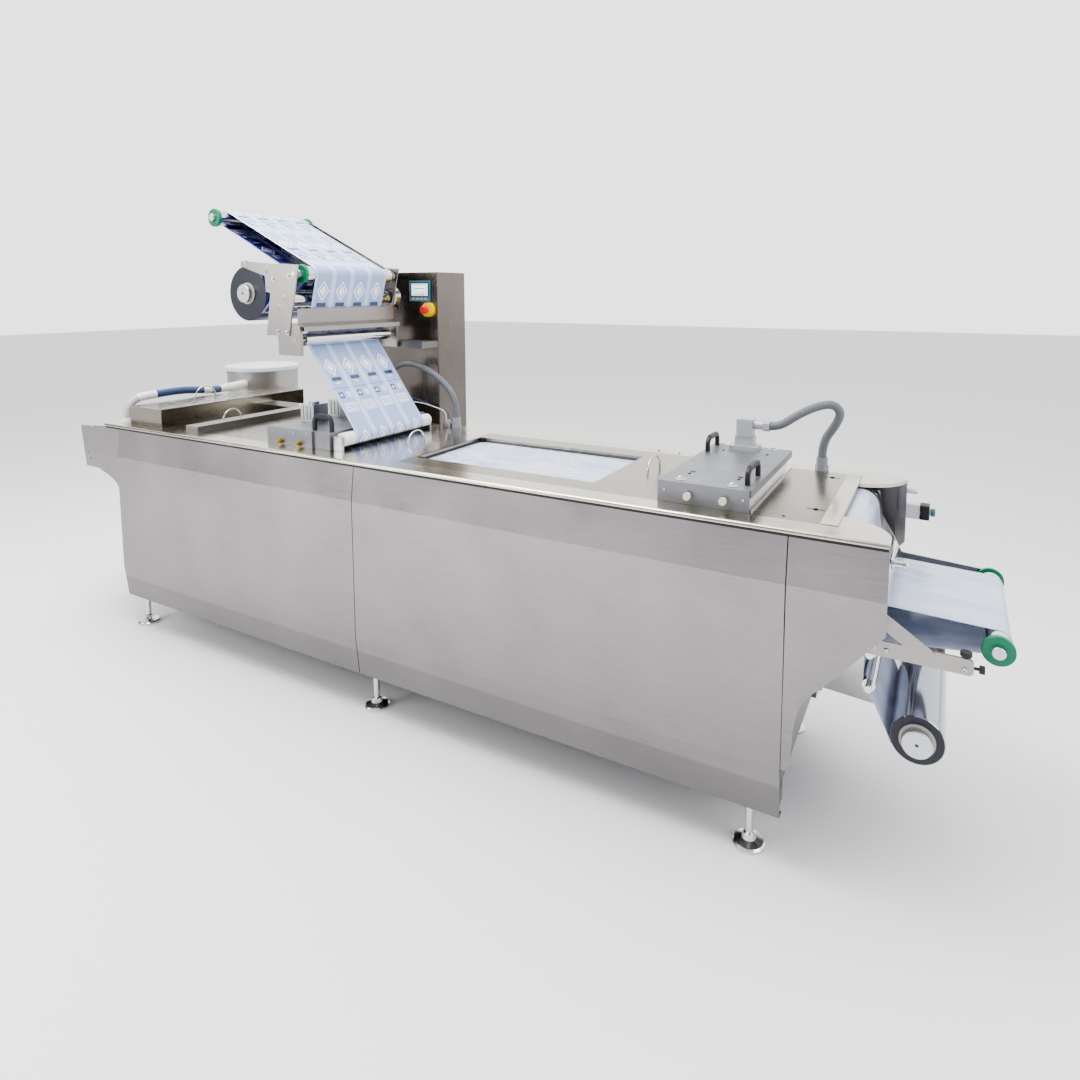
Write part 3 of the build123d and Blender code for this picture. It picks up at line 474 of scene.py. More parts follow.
# %% [markdown]
# ## Dressing the solids
#
# Every solid of the frame now gets the metal or plastic that it is made of.


# %% Materials of the solids
def dress(material, *names):
    """Gives solids a material."""
    for name in names:
        for place in frame["nodes"][name].material_slots:
            place.material = material


dress(panel_steel, "front_panel_left", "front_panel_right", "back_panels")
dress(panel_steel, "infeed_cheeks", "outfeed_cheeks")
dress(deck_steel, "deck_plates", "loading_frame", "slitter_cover")
dress(rail_steel, "deck_rails")
dress(cabinet_steel, "control_cabinet")
dress(plate_steel, "unwinder_plates", "lower_roller_brackets", "unwinder_tray")
dress(plate_steel, "infeed_bar_front", "splice_lever", "outfeed_chute")
dress(plate_steel, "upper_tension_arm", "trim_drum", "cutter_bar")
# Painted shade: the inner parts take a darker copy of the same sheet.
dress(painted_shade_steel, "side_frames", "cross_tubes", "end_panels", "unwinder_supports")
dress(painted_shade_steel, "chain_rails")
dress(polished_steel, "cover_plate")
dress(bright_steel, "wire_handles", "levelling_feet", "drive_motor")
dress(bright_steel, "infeed_arm_back", "forming_side_rail")
dress(chrome, "upper_rollers", "infeed_rollers")
dress(anodised, "forming_block", "forming_cover", "sealing_block", "station_front_plates")
dress(pale_aluminium, "sealing_cylinders", "reel_shafts", "seal_roller_brackets")
dress(cast_hood, "forming_connector")
dress(brass, "sealing_air_fittings")
dress(black_nylon, "bow_handles", "thumb_screw")
dress(cream_nylon, "forming_vent_knobs")
dress(green_nylon, "roller_end_caps")
dress(white_silicone, "seal_roller")
dress(grey_nylon, "conduit_glands")
dress(white_pvc, "hose_fittings", "air_regulator")
dress(lid_plastic, "trim_drum_lid")
dress(teal_plastic, "operator_panel")
dress(yellow_plastic, "emergency_stop_base")
dress(red_plastic, "emergency_stop_button")
dress(core_card, "reel_cores")
print("dressed the solids")

# %% [markdown]
# ## Making a piece
#
# Each new piece is drawn as a bmesh, in its own place. One function turns it into an
# object that rides on the machine, with smooth faces and sharp edges where they should
# be.


# %% Piece helper
def finish_piece(name, shape, materials, sharp=35, outward=True):
    """Turns a bmesh into an object of the machine."""
    if outward:
        bmesh.ops.recalc_face_normals(shape, faces=shape.faces[:])
    mesh = bpy.data.meshes.new(name)
    shape.to_mesh(mesh)
    shape.free()
    for material in materials:
        mesh.materials.append(material)
    mesh.shade_smooth()
    mesh.set_sharp_from_angle(angle=radians(sharp))
    made = bpy.data.objects.new(name, mesh)
    bpy.context.scene.collection.objects.link(made)
    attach(made, BODY)
    return made


print("pieces ride on", BODY)

# %% [markdown]
# ## The two conduits and the hose
#
# Each is a real length of something that bends, so it starts as a smooth spline
# through a few points. Its tube is then drawn round that spline, ring by ring. The
# conduits are corrugated: a rib every few millimetres, which lets a hard plastic bend.


# %% Points along a spline
def spline_points(name, points):
    """Points close together on the smooth line that a route's corner points steer."""
    line = bpy.data.curves.new(name, "CURVE")
    line.dimensions = "3D"
    line.resolution_u = 24
    run = line.splines.new("NURBS")
    run.points.add(len(points) - 1)
    for corner, place in zip(run.points, points):
        corner.co = (*place, 1)
    run.order_u = 3
    run.use_endpoint_u = True
    carrier = bpy.data.objects.new(name, line)
    bpy.context.scene.collection.objects.link(carrier)
    bpy.context.view_layer.update()
    mesh = bpy.data.meshes.new_from_object(carrier)
    found = [v.co.copy() for v in mesh.vertices]
    bpy.data.objects.remove(carrier)
    bpy.data.curves.remove(line)
    bpy.data.meshes.remove(mesh)
    return found


def evenly(points, step):
    """The same line with a point at every step of its length, and its length."""
    lengths = [(b - a).length for a, b in zip(points, points[1:])]
    total = sum(lengths)
    count = max(2, round(total / step))
    out = []
    i = 0
    walked = 0.0
    for k in range(count + 1):
        target = total * k / count
        while i < len(lengths) - 1 and walked + lengths[i] < target:
            walked += lengths[i]
            i += 1
        share = (target - walked) / lengths[i]
        out.append(points[i].lerp(points[i + 1], min(1.0, share)))
    return out, total


metre = [Vector((0, 0, 0)), Vector((1, 0, 0))]
print("a metre in quarters has", len(evenly(metre, 0.25)[0]), "points")

# %% [markdown]
# A tube grows from a disc of points. Its rim is extruded again and again, and every new
# ring is moved to the next point of the line and turned square to it.


# %% Tube round a line
def tube(points, radius_at, kind_at, sides=20):
    """A closed tube round a line. radius_at and kind_at take the distance from its start."""
    shape = bmesh.new()
    ahead = (points[1] - points[0]).normalized()
    across = ahead.orthogonal().normalized()
    walked = 0.0
    ring = None
    for k, place in enumerate(points):
        if k:
            walked += (place - points[k - 1]).length
        after = points[min(k + 1, len(points) - 1)]
        before = points[max(k - 1, 0)]
        along = (after - before).normalized()
        across = (across - across.dot(along) * along).normalized()
        other = along.cross(across)
        radius = radius_at(walked)
        corners = []
        for j in range(sides):
            turn = 2 * pi * j / sides
            corners.append(place + radius * (cos(turn) * across + sin(turn) * other))
        if ring is None:
            ring = bmesh.ops.create_circle(shape, cap_ends=True, segments=sides, radius=1)["verts"]
            edges = shape.edges[:]
        else:
            grown = bmesh.ops.extrude_edge_only(shape, edges=edges)["geom"]
            kind = kind_at(walked)
            for face in grown:
                if isinstance(face, bmesh.types.BMFace):
                    face.material_index = kind
            edges = [
                e
                for e in grown
                if isinstance(e, bmesh.types.BMEdge) and len(e.link_faces) == 1
            ]
            following = []
            for corner in ring:
                beyond = [e.other_vert(corner) for e in corner.link_edges]
                fresh = [v for v in beyond if v not in ring and len(v.link_faces) <= 2]
                following.append(fresh[-1])
            ring = following
        for corner, there in zip(ring, corners):
            corner.co = there
    bmesh.ops.contextual_create(shape, geom=ring)
    return shape


def ribbed(radius, pitch, depth):
    """The radius of a corrugated tube at a distance along it."""
    return lambda s: radius - depth * (0.5 - 0.5 * cos(2 * pi * s / pitch))


RIB_PITCH = 6 * MM
RIB_DEPTH = 1.5 * MM
print("a rib every", RIB_PITCH * 1000, "mm")

# %% The conduits
CONDUIT_ACROSS = 32 * MM
forming_route = [
    spot(3005, 250, 1176),
    spot(3037, 250, 1176),
    spot(3100, 263, 1224),
    spot(3160, 282, 1256),
    spot(3213, 296, 1268),
    spot(3241, 310, 1236),
    spot(3221, 324, 1186),
    spot(3176, 338, 1118),
    spot(3176, 338, 1061),
]
sealing_route = [
    spot(1120, 268, 1121),
    spot(1120, 268, 1205),
    spot(1150, 298, 1296),
    spot(1230, 330, 1322),
    spot(1325, 350, 1286),
    spot(1398, 360, 1240),
    spot(1454, 366, 1186),
    spot(1483, 368, 1126),
    spot(1483, 368, 1061),
]


def conduit(name, route, replaced):
    """A corrugated conduit along a route."""
    points, length = evenly(spline_points(name, route), RIB_PITCH / 4)
    shape = tube(points, ribbed(CONDUIT_ACROSS / 2, RIB_PITCH, RIB_DEPTH), lambda s: 0, 18)
    made = finish_piece(name, shape, [conduit_grey], 80)
    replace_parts(made, replaced)
    print(name, "is", round(length, 3), "m long")


conduit("ribbed_forming_conduit", forming_route, "forming_conduit")
conduit("ribbed_sealing_conduit", sealing_route, "sealing_conduit")

# %% [markdown]
# The trim hose carries off the cut edges of the film. It is wound with wire, and clear,
# where it leaves the deck. A white cuff joins it to a smooth blue run, and a white
# coupling with a blue sleeve ends it at the drum. One tube holds all of that: its radius
# and its material change at distances along it.

# %% The trim hose
HOSE_ACROSS = 42 * MM
hose_route = [
    spot(-62, -305, 1035),
    spot(-62, -305, 1090),
    spot(-50, -255, 1132),
    spot(-33, -180, 1138),
    spot(-31, -40, 1143),
    spot(-48, 80, 1128),
    spot(-82.8, 204.5, 1112),
    spot(-111.2, 277.1, 1112),
]
hose_points, hose_length = evenly(spline_points("trim_route", hose_route), 2.5 * MM)
# Metres along the hose.
WOUND_END = 0.115
CUFF_END = 0.2
BLUE_END = 0.47
SLEEVE = (0.53, 0.6)
CUFF_WALL = 1.2 * MM
CLEAR, WHITE, BLUE = 0, 1, 2
wound_radius = ribbed(HOSE_ACROSS / 2, 10 * MM, 2.2 * MM)


def hose_radius(s):
    """The hose's radius at a distance along it."""
    if s < WOUND_END:
        return wound_radius(s)
    cuffed = s < CUFF_END or s > BLUE_END
    return HOSE_ACROSS / 2 - (0 if cuffed else CUFF_WALL)


def hose_kind(s):
    """The number of the hose's material at a distance along it."""
    if s < WOUND_END:
        return CLEAR
    return BLUE if CUFF_END < s < BLUE_END or SLEEVE[0] < s < SLEEVE[1] else WHITE


hose = finish_piece(
    "wound_trim_hose",
    tube(hose_points, hose_radius, hose_kind, 24),
    [hose_clear, white_pvc, hose_blue],
    60,
)
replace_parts(hose, "trim_hose")
print("the trim hose is", round(hose_length, 3), "m long")

# %% [markdown]
# ## The films
#
# A film is pulled through the whole machine in one piece. It runs straight between two
# rollers and bends round each of them, so it is drawn the same way: one edge that lies
# across the machine is pushed along, and turned about the axis of every roller that it
# meets. Each corner remembers how far along the film it is, and that distance becomes
# the film's own map, so a print follows the film over every roller.

# %% Where a film meets its rollers
FILM_HALF = 0.21
FILM_GAP = 0.7 * MM
BEND_STEP = radians(8)
LEFT, RIGHT, FREE = 1, -1, 0
MIDDLE = spot(0, 0, 0).y


def roller(x, z, radius, turn):
    """What a film meets: a roller's axis and radius, and the way the film bends there."""
    axis = spot(x, 0, z)
    return (axis.x, axis.z), radius * MM, turn


def touches(stops):
    """Where a film meets and leaves each roller, as points in X and Z."""
    found = [[] for _ in stops]
    for i in range(len(stops) - 1):
        (x0, z0), r0, turn0 = stops[i]
        (x1, z1), r1, turn1 = stops[i + 1]
        near = turn0 * (r0 + FILM_GAP)
        far = turn1 * (r1 + FILM_GAP)
        length = hypot(x1 - x0, z1 - z0)
        heading = atan2(z1 - z0, x1 - x0) - asin((far - near) / length)
        side = (sin(heading), -cos(heading))
        found[i].append((x0 + near * side[0], z0 + near * side[1]))
        found[i + 1].append((x1 + far * side[0], z1 + far * side[1]))
    return found


level = touches([roller(0, 1000, 30, RIGHT), roller(500, 1000, 30, RIGHT)])
print("over two rollers of 30 mm, 1 m up, a film runs at", round(level[0][0][1], 4), "m")


# %% A film from edge to edge
def film_web(stops, cells, step):
    """A film as a bmesh, its length, and the stretches of it that lie on rollers."""
    shape = bmesh.new()
    along = shape.verts.layers.float.new("along")
    met = touches(stops)
    across = 2 * FILM_HALF / cells
    x, z = met[0][0]
    first_edge = [MIDDLE - FILM_HALF + across * k for k in range(cells + 1)]
    row = [shape.verts.new((x, y, z)) for y in first_edge]
    edges = [shape.edges.new(pair) for pair in zip(row, row[1:])]
    length = 0.0
    rests = []
    for i, (centre, radius, turn) in enumerate(stops):
        moves = []
        if len(met[i]) == 2:
            start, end = met[i]
            first = atan2(start[1] - centre[1], start[0] - centre[0])
            last = atan2(end[1] - centre[1], end[0] - centre[0])
            swing = turn * ((turn * (last - first)) % (2 * pi))
            count = max(2, round(abs(swing) / BEND_STEP))
            moves = [("turn", swing / count)] * count
            rests.append((length, length + abs(swing) * radius))
        if i < len(stops) - 1:
            start, end = met[i][-1], met[i + 1][0]
            run = Vector((end[0] - start[0], 0, end[1] - start[1]))
            count = max(1, round(run.length / step))
            moves += [("run", run / count)] * count
        for kind, amount in moves:
            grown = bmesh.ops.extrude_edge_only(shape, edges=edges)["geom"]
            row = {g for g in grown if isinstance(g, bmesh.types.BMVert)}
            if kind == "run":
                bmesh.ops.translate(shape, verts=list(row), vec=amount)
                length += amount.length
            else:
                turned = Matrix.Rotation(-amount, 3, "Y")
                pivot = (centre[0], 0, centre[1])
                bmesh.ops.rotate(shape, verts=list(row), cent=pivot, matrix=turned)
                length += abs(amount) * radius
            for corner in row:
                corner[along] = length
            edges = [
                g
                for g in grown
                if isinstance(g, bmesh.types.BMEdge) and row.issuperset(g.verts)
            ]
    film_map = shape.loops.layers.uv.new("film")
    for face in shape.faces:
        for corner in face.loops:
            corner[film_map].uv = (corner.vert.co.y - MIDDLE, corner.vert[along])
    bmesh.ops.recalc_face_normals(shape, faces=shape.faces[:])
    return shape, length, rests


print("a film turns in", round(2 * pi / BEND_STEP), "steps round a whole roller")

# %% [markdown]
# A film sways by about a millimetre where it is free and lies flat near its rollers. A
# Solidify modifier gives it a wall, so that its front and its back can look different.
# Each film here takes the place of a plain solid of the frame.

# %% Sway and wall
FLAT_NEAR = 0.06


def ripple(shape, rests, height, waves):
    """Lets the free stretches of a film sway a little. It stays flat near its rollers."""
    shape.normal_update()
    along = shape.verts.layers.float["along"]
    for corner in shape.verts:
        clear = min(max(a - corner[along], corner[along] - b, 0.0) for a, b in rests)
        sway = noise.noise(Vector((corner.co.y * waves[0], corner[along] * waves[1], 0)))
        corner.co += corner.normal * (height * min(1.0, clear / FLAT_NEAR) * sway)


FILM_THICK = 0.6 * MM


def hang_film(name, shape, length, materials, replaced):
    """Turns a web into an object with a front and a back of its own."""
    made = finish_piece(name, shape, materials, 60, outward=False)
    wall = made.modifiers.new("wall", "SOLIDIFY")
    wall.thickness = FILM_THICK
    wall.offset = 0
    wall.material_offset = len(materials) - 1
    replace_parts(made, replaced)
    print(name, "is", round(length, 2), "m long")
    return made


print("a film is", 2 * FILM_HALF, "m wide")

# %% [markdown]
# The top film is oriented polypropylene, printed on its inner side and very glossy. The
# print repeats: four columns of packs side by side, and one pack every 360 mm. A mark
# in the print is a small mask made by comparing a place in the cell with the mark's
# middle, so the whole design is a list of marks. The front is pale and mirrors the
# lamps. From behind, through the film, the ink looks deep blue.

# %% Marks of the print
CELL_ACROSS = 105
CELL_ALONG = 360
BAR, DIAMOND = "bar", "diamond"
# What it is, its middle across and along the cell, half its size both ways, and its
# colours from the front and from behind. All sizes are in millimetres.
MARKS = [
    (BAR, 52, 180, 40, 180, "9AB2E0", "343C80"),
    (BAR, 52, 24, 22, 3, "B4B9C4", "D6D3E2"),
    (BAR, 52, 36, 22, 3, "B4B9C4", "D6D3E2"),
    (BAR, 52, 48, 22, 3, "B4B9C4", "D6D3E2"),
    (DIAMOND, 52, 104, 34, 46, "F1F4FA", "E6E4F0"),
    (DIAMOND, 52, 104, 25, 34, "8C9AC0", "4A5488"),
    (DIAMOND, 52, 104, 19, 26, "F4F6FA", "EDE9F2"),
    (BAR, 52, 165, 26, 9, "343D6B", "10142F"),
    (BAR, 52, 186, 15, 9, "D8A9A8", "A98A99"),
    (BAR, 52, 186, 15, 2, "F1F4FA", "C9CDE0"),
    (BAR, 52, 212, 53, 1, "3A4470", "0F1430"),
    (BAR, 32, 246, 12, 15, "414B78", "11163A"),
    (DIAMOND, 32, 246, 8, 10, "EDF1F7", "B9BFD8"),
    (BAR, 74, 246, 12, 15, "D7E0F1", "7B84AE"),
    (BAR, 52, 308, 33, 24, "D3DFF2", "B7B6D2"),
    (BAR, 52, 300, 24, 2, "A9B4D0", "1B2353"),
    (BAR, 52, 312, 24, 2, "A9B4D0", "1B2353"),
]
print(len(MARKS), "marks in the print")


# %% Masks
def bar_mask(tree, places, middle, half):
    """A socket that is 1 inside a rectangle of a pattern and 0 outside it."""
    inside = [
        add_node(tree, MATH, {0: place, 1: m, 2: h}, operation="COMPARE").outputs[0]
        for place, m, h in zip(places, middle, half)
    ]
    return add_node(tree, MATH, {0: inside[0], 1: inside[1]}, operation="MULTIPLY").outputs[0]


def diamond_mask(tree, places, middle, half):
    """The same for a diamond: its two distances, weighed and added, stay under a limit."""
    away = []
    for place, m in zip(places, middle):
        beside = add_node(tree, MATH, {0: place, 1: m}, operation="SUBTRACT").outputs[0]
        away.append(add_node(tree, MATH, {0: beside}, operation="ABSOLUTE").outputs[0])
    weighed = {0: away[1], 1: half[0] / half[1], 2: away[0]}
    reach = add_node(tree, MATH, weighed, operation="MULTIPLY_ADD").outputs[0]
    return add_node(tree, MATH, {0: reach, 1: half[0]}, operation="LESS_THAN").outputs[0]


print("masks for a", BAR, "and a", DIAMOND)

# %% Printed film
# Slack waves to a metre, across the film and along it.
SLACK = (16, 2.5, 1)


def printed_film(name, ground, ink, dull):
    """Glossy film. ink is which of a mark's two colours shows on this side."""
    made, tree, shader = new_material(name)
    film = add_node(tree, "ShaderNodeUVMap", uv_map="film")
    place = add_node(tree, "ShaderNodeSeparateXYZ", {0: film.outputs[0]})
    cell = []
    for way, shift, size in ((0, 2 * CELL_ACROSS, CELL_ACROSS), (1, 0.0, CELL_ALONG)):
        in_mm = {0: place.outputs[way], 1: 1 / MM, 2: shift}
        place_mm = add_node(tree, MATH, in_mm, operation="MULTIPLY_ADD").outputs[0]
        wrapped = {0: place_mm, 1: size, 2: 0.0}
        cell.append(add_node(tree, MATH, wrapped, operation="WRAP").outputs[0])
    picture = colour(ground)
    for kind, across, along, half_across, half_along, *inks in MARKS:
        mask = bar_mask if kind == BAR else diamond_mask
        shape = mask(tree, cell, (across, along), (half_across, half_along))
        mixed = {0: shape, 6: picture, 7: colour(inks[ink])}
        picture = add_node(tree, "ShaderNodeMix", mixed, data_type="RGBA").outputs[2]
    tree.links.new(picture, shader.inputs["Base Color"])
    shader.inputs["Roughness"].default_value = dull
    shader.inputs["Coat Weight"].default_value = 0.4
    shader.inputs["Coat Roughness"].default_value = 0.08
    stretched = add_node(
        tree, "ShaderNodeMapping", {"Vector": film.outputs[0], "Scale": SLACK}
    )
    waves = add_node(
        tree,
        "ShaderNodeTexNoise",
        {"Vector": stretched.outputs[0], "Scale": 1.0, "Detail": 3.0},
    )
    bump = add_node(
        tree, "ShaderNodeBump", {"Height": waves.outputs[0], "Strength": 0.35, "Distance": 5 * MM}
    )
    tree.links.new(bump.outputs[0], shader.inputs["Normal"])
    return made


film_front = printed_film("printed_polypropylene_front", "C6D4EE", 0, 0.2)
film_back = printed_film("printed_polypropylene_back", "8E96C8", 1, 0.16)
print("a front and a back for the printed film")

# %% The top film on its way
TOP_STOPS = [
    roller(767, 1657, 124, LEFT),
    roller(1012, 1748, 18, LEFT),
    roller(629, 1996, 34, RIGHT),
    roller(1170, 1739, 34, RIGHT),
    roller(1160, 1462, 27, LEFT),
    roller(1385, 1058, 28, RIGHT),
    roller(1352, 1018, 0, FREE),
]
web, web_length, web_rests = film_web(TOP_STOPS, 28, 0.015)
ripple(web, web_rests, 1.2 * MM, (9, 3))
hang_film(
    "printed_top_film",
    web,
    web_length,
    [film_front, film_back],
    "top_film",
)

# %% [markdown]
# The bottom film is clear, soft and a little milky, so it looks pale blue and very
# glossy. Heat has drawn it where it was formed, and it lies crumpled in the loading
# place. The crumples are sharp where a noise crosses zero, so they look like creases
# and not like waves.

# %% Clear film
# Its creases are drawn 65 mm apart across the film and 290 mm apart along it. The same
# crease noise paints the colour, bluer grey in a crease and near white on its crest:
# painted shade and sheen.
film_clear, tree, shader = new_material("clear_forming_film")
place = add_node(tree, "ShaderNodeTexCoord").outputs["Object"]
drawn = add_node(tree, "ShaderNodeMapping", {"Vector": place, "Scale": (0.5, 2.2, 0.5)})
crease = add_node(
    tree,
    "ShaderNodeTexNoise",
    {"Vector": drawn.outputs[0], "Scale": 7.0, "Detail": 3.0, "Distortion": 0.8},
)
# Painted shade and sheen: the colour follows the crease noise that also bumps the film.
tint = add_node(
    tree,
    "ShaderNodeMix",
    {0: crease.outputs[0], 6: colour("9FB0D6"), 7: colour("EFF2FA")},
    data_type="RGBA",
)
tree.links.new(tint.outputs[2], shader.inputs["Base Color"])
bump = add_node(
    tree, "ShaderNodeBump", {"Height": crease.outputs[0], "Strength": 0.3, "Distance": 4 * MM}
)
tree.links.new(bump.outputs[0], shader.inputs["Normal"])
shader.inputs["Roughness"].default_value = 0.14
shader.inputs["Alpha"].default_value = 0.86
print("a clear film")

# %% The bottom film on its way
BOTTOM_STOPS = [
    roller(3540, 400, 72, RIGHT),
    roller(3411, 550, 18, RIGHT),
    roller(3411, 650, 18, RIGHT),
    roller(3719, 733, 34, LEFT),
    roller(3425, 800, 22, RIGHT),
    roller(3325, 936, 60, LEFT),
    roller(1410, 997, 0, FREE),
]
LOADING_FROM = spot(1724, 0, 0).x
LOADING_TO = spot(2519, 0, 0).x
LOADING_ABOVE = 0.9
DECK_UNDER = spot(0, 0, 1003).z
# The crumples fade out over these distances from the ends and sides of the film.
FADE_END, FADE_SIDE = 0.12, 0.03
FOLDS, CREASES, SAG = 7 * MM, 6 * MM, 3 * MM
web, web_length, web_rests = film_web(BOTTOM_STOPS, 60, 0.008)
ripple(web, web_rests, 1.5 * MM, (11, 4))
for corner in web.verts:
    if LOADING_FROM < corner.co.x < LOADING_TO and corner.co.z > LOADING_ABOVE:
        from_end = min(corner.co.x - LOADING_FROM, LOADING_TO - corner.co.x)
        from_side = FILM_HALF - abs(corner.co.y - MIDDLE)
        fade = min(1.0, from_end / FADE_END) * min(1.0, from_side / FADE_SIDE)
        near = Vector((corner.co.x * 15, corner.co.y * 21, 0))
        fold = 1 - 2.4 * abs(noise.noise(near))
        crease = 0.35 - abs(noise.noise(near * 2.7))
        lift = fade * (FOLDS * fold + CREASES * crease - SAG)
        corner.co.z = min(corner.co.z + lift, DECK_UNDER)
hang_film(
    "clear_bottom_film",
    web,
    web_length,
    [film_clear],
    "bottom_film",
)

# %% [markdown]
# ## The rolls of film
#
# A wound roll has a straight outside and two ends where the edges of hundreds of turns
# lie side by side. The map of a roll holds the distance from its axis, and fine rings
# follow that distance. Real turns are a tenth of a millimetre apart, so the rings here
# are drawn wider, where they still show.

# %% Turned shapes
SMALL_TURN = 24


def turned(shape, place, axis, profile, steps=SMALL_TURN):
    """Spins a profile of (distance along the axis, radius) in millimetres into a solid."""
    ahead = Vector(axis).normalized()
    out = ahead.orthogonal().normalized()
    points = [shape.verts.new(place + (ahead * d + out * r) * MM) for d, r in profile]
    edges = [shape.edges.new(pair) for pair in zip(points, points[1:])]
    bmesh.ops.spin(
        shape,
        geom=points + edges,
        cent=place,
        axis=ahead,
        angle=2 * pi,
        steps=steps,
        use_merge=True,
    )
    bmesh.ops.remove_doubles(shape, verts=shape.verts[:], dist=0.01 * MM)


def wound_film(name, dark, light, ring_mm, dull):
    """The end of a roll: rings of two tones."""
    made, tree, shader = new_material(name)
    rolled = add_node(tree, "ShaderNodeUVMap", uv_map="wound")
    place = add_node(tree, "ShaderNodeSeparateXYZ", {0: rolled.outputs[0]})
    rings = add_node(
        tree,
        "ShaderNodeTexNoise",
        {"W": place.outputs[0], "Scale": 1 / (ring_mm * MM), "Detail": 2.0},
        noise_dimensions="1D",
    )
    shade = add_node(
        tree,
        "ShaderNodeMix",
        {0: rings.outputs[0], 6: colour(dark), 7: colour(light)},
        data_type="RGBA",
    )
    tree.links.new(shade.outputs[2], shader.inputs["Base Color"])
    bump = add_node(
        tree, "ShaderNodeBump", {"Height": rings.outputs[0], "Strength": 0.3, "Distance": MM / 2}
    )
    tree.links.new(bump.outputs[0], shader.inputs["Normal"])
    shader.inputs["Roughness"].default_value = dull
    return made


# Hundreds of film edges side by side: nearly black, with fine rings.
roll_end = wound_film("wound_film_edges", "14161F", "2B2E3C", 1.6, 0.34)
# Layers of glossy film on each other mirror as metal does, in navy and in silver.
roll_navy = smooth_metal("wound_printed_film", "2A3154", 0.1, 8, 0.35)
roll_mirror = smooth_metal("wound_clear_film", "A4A8B2", 0.08, 8, 0.85)
CORE = 48.4


def film_roll(name, x, z, radius, outside):
    """A roll of film round its core, which it leaves open."""
    shape = bmesh.new()
    half = FILM_HALF / MM
    profile = [
        (-half, CORE),
        (-half, radius - 2),
        (2 - half, radius),
        (half - 2, radius),
        (half, radius - 2),
        (half, CORE),
        (-half, CORE),
    ]
    turned(shape, spot(x, 0, z), (0, 1, 0), profile, 96)
    rolled = shape.loops.layers.uv.new("wound")
    axis = spot(x, 0, z)
    for face in shape.faces:
        face.material_index = 0 if abs(face.normal.y) > 0.9 else 1
        for corner in face.loops:
            place = corner.vert.co
            corner[rolled].uv = (hypot(place.x - axis.x, place.z - axis.z), place.y)
    return finish_piece(name, shape, [roll_end, outside], 30)


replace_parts(film_roll("upper_film_roll", 767, 1657, 123.6, roll_navy), "film_reels")
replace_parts(film_roll("lower_film_roll", 3540, 400, 71.6, roll_mirror), "film_reels")
print("two rolls of film")

# %% [markdown]
# ## Operator panel
#
# A small touch screen sits in a moulded frame, with four keys under it. The screen is
# glass over a lit display, so its picture glows a little and its front is glossy. The
# picture is plain bars and fields.

# %% Blocks and the display
def block(shape, low, high, round_mm=0.0, segments=3):
    """A box between two corners of the drawing, with its edges rounded."""
    a, b = spot(*low), spot(*high)
    place = Matrix.Translation((a + b) / 2) @ Matrix.Diagonal((*(b - a), 1))
    corners = bmesh.ops.create_cube(shape, size=1, matrix=place)["verts"]
    if round_mm:
        bmesh.ops.bevel(
            shape,
            geom=list({edge for corner in corners for edge in corner.link_edges}),
            offset=round_mm * MM,
            segments=segments,
            profile=0.5,
            affect="EDGES",
            material=-1,
        )


SCREEN_MIDDLE = spot(1231.5, 411, 1675)
# Middle across and up, half the size both ways, and a colour.
SCREEN_FIELDS = [
    (0, 27, 50, 4, "9FB9C4"),
    (0, 5, 36, 13, "FBFCFC"),
    (0, 5, 31, 2.5, "7E8F99"),
    (-20, -24, 9, 4, "C3CDD2"),
    (0, -24, 9, 4, "C3CDD2"),
    (20, -24, 9, 4, "8FB3A2"),
]
# Glass over a backlit picture: it glows a little and has a sharp highlight.
display, tree, shader = new_material("lit_display_glass")
place = add_node(tree, "ShaderNodeTexCoord").outputs["Object"]
centred = add_node(tree, "ShaderNodeMapping", {"Vector": place, "Location": -SCREEN_MIDDLE})
flat = add_node(tree, "ShaderNodeSeparateXYZ", {0: centred.outputs[0]})
picture = colour("E3EAEC")
for across, up, half_across, half_up, tone in SCREEN_FIELDS:
    middle, half = (across * MM, up * MM), (half_across * MM, half_up * MM)
    field = bar_mask(tree, (flat.outputs["X"], flat.outputs["Z"]), middle, half)
    mixed = {0: field, 6: picture, 7: colour(tone)}
    picture = add_node(tree, "ShaderNodeMix", mixed, data_type="RGBA").outputs[2]
tree.links.new(picture, shader.inputs["Base Color"])
tree.links.new(picture, shader.inputs["Emission Color"])
shader.inputs["Emission Strength"].default_value = 0.35
shader.inputs["Roughness"].default_value = 0.08
print("a picture of", len(SCREEN_FIELDS), "fields")

# %% Screen, keys and rim
KEYS, KEY_STEP, KEY_WIDE = 4, 26, 19
glass = bmesh.new()
block(glass, (1180, 411, 1644), (1283, 414, 1706), 1.0)
finish_piece("operator_screen", glass, [display])
keys = bmesh.new()
for k in range(KEYS):
    left = 1183 + KEY_STEP * k
    block(keys, (left, 410.4, 1623), (left + KEY_WIDE, 413, 1635), 1.4)
finish_piece("operator_keys", keys, [grey_nylon])
bezel = bmesh.new()
for low, high in (
    ((1173, 410.6, 1637), (1290, 413, 1640.5)),
    ((1173, 410.6, 1709.5), (1290, 413, 1713)),
    ((1173, 410.6, 1640.5), (1176.5, 413, 1709.5)),
    ((1286.5, 410.6, 1640.5), (1290, 413, 1709.5)),
):
    block(bezel, low, high, 0.8)
finish_piece("operator_screen_rim", bezel, [rubber_and_painted_gap_shade])
print("a screen and", KEYS, "keys")

# %% [markdown]
# ## Screws
#
# Screws, bolts and washers hold every cover. Each is a short profile spun round its
# axis. A ray that is shot at the carrying solid finds the face and its direction, so
# that each screw sits on its plate and looks straight out of it.

# %% Screws and where they sit
# Screws down in their bores are blackened: dark, with an oily shine. The same dark
# paints the shade down in the bores and in the deck slots: painted shade.
blackened_and_hole_shade = smooth_metal("blackened_steel_and_painted_hole_shade", "26262A", 0.3, 200)


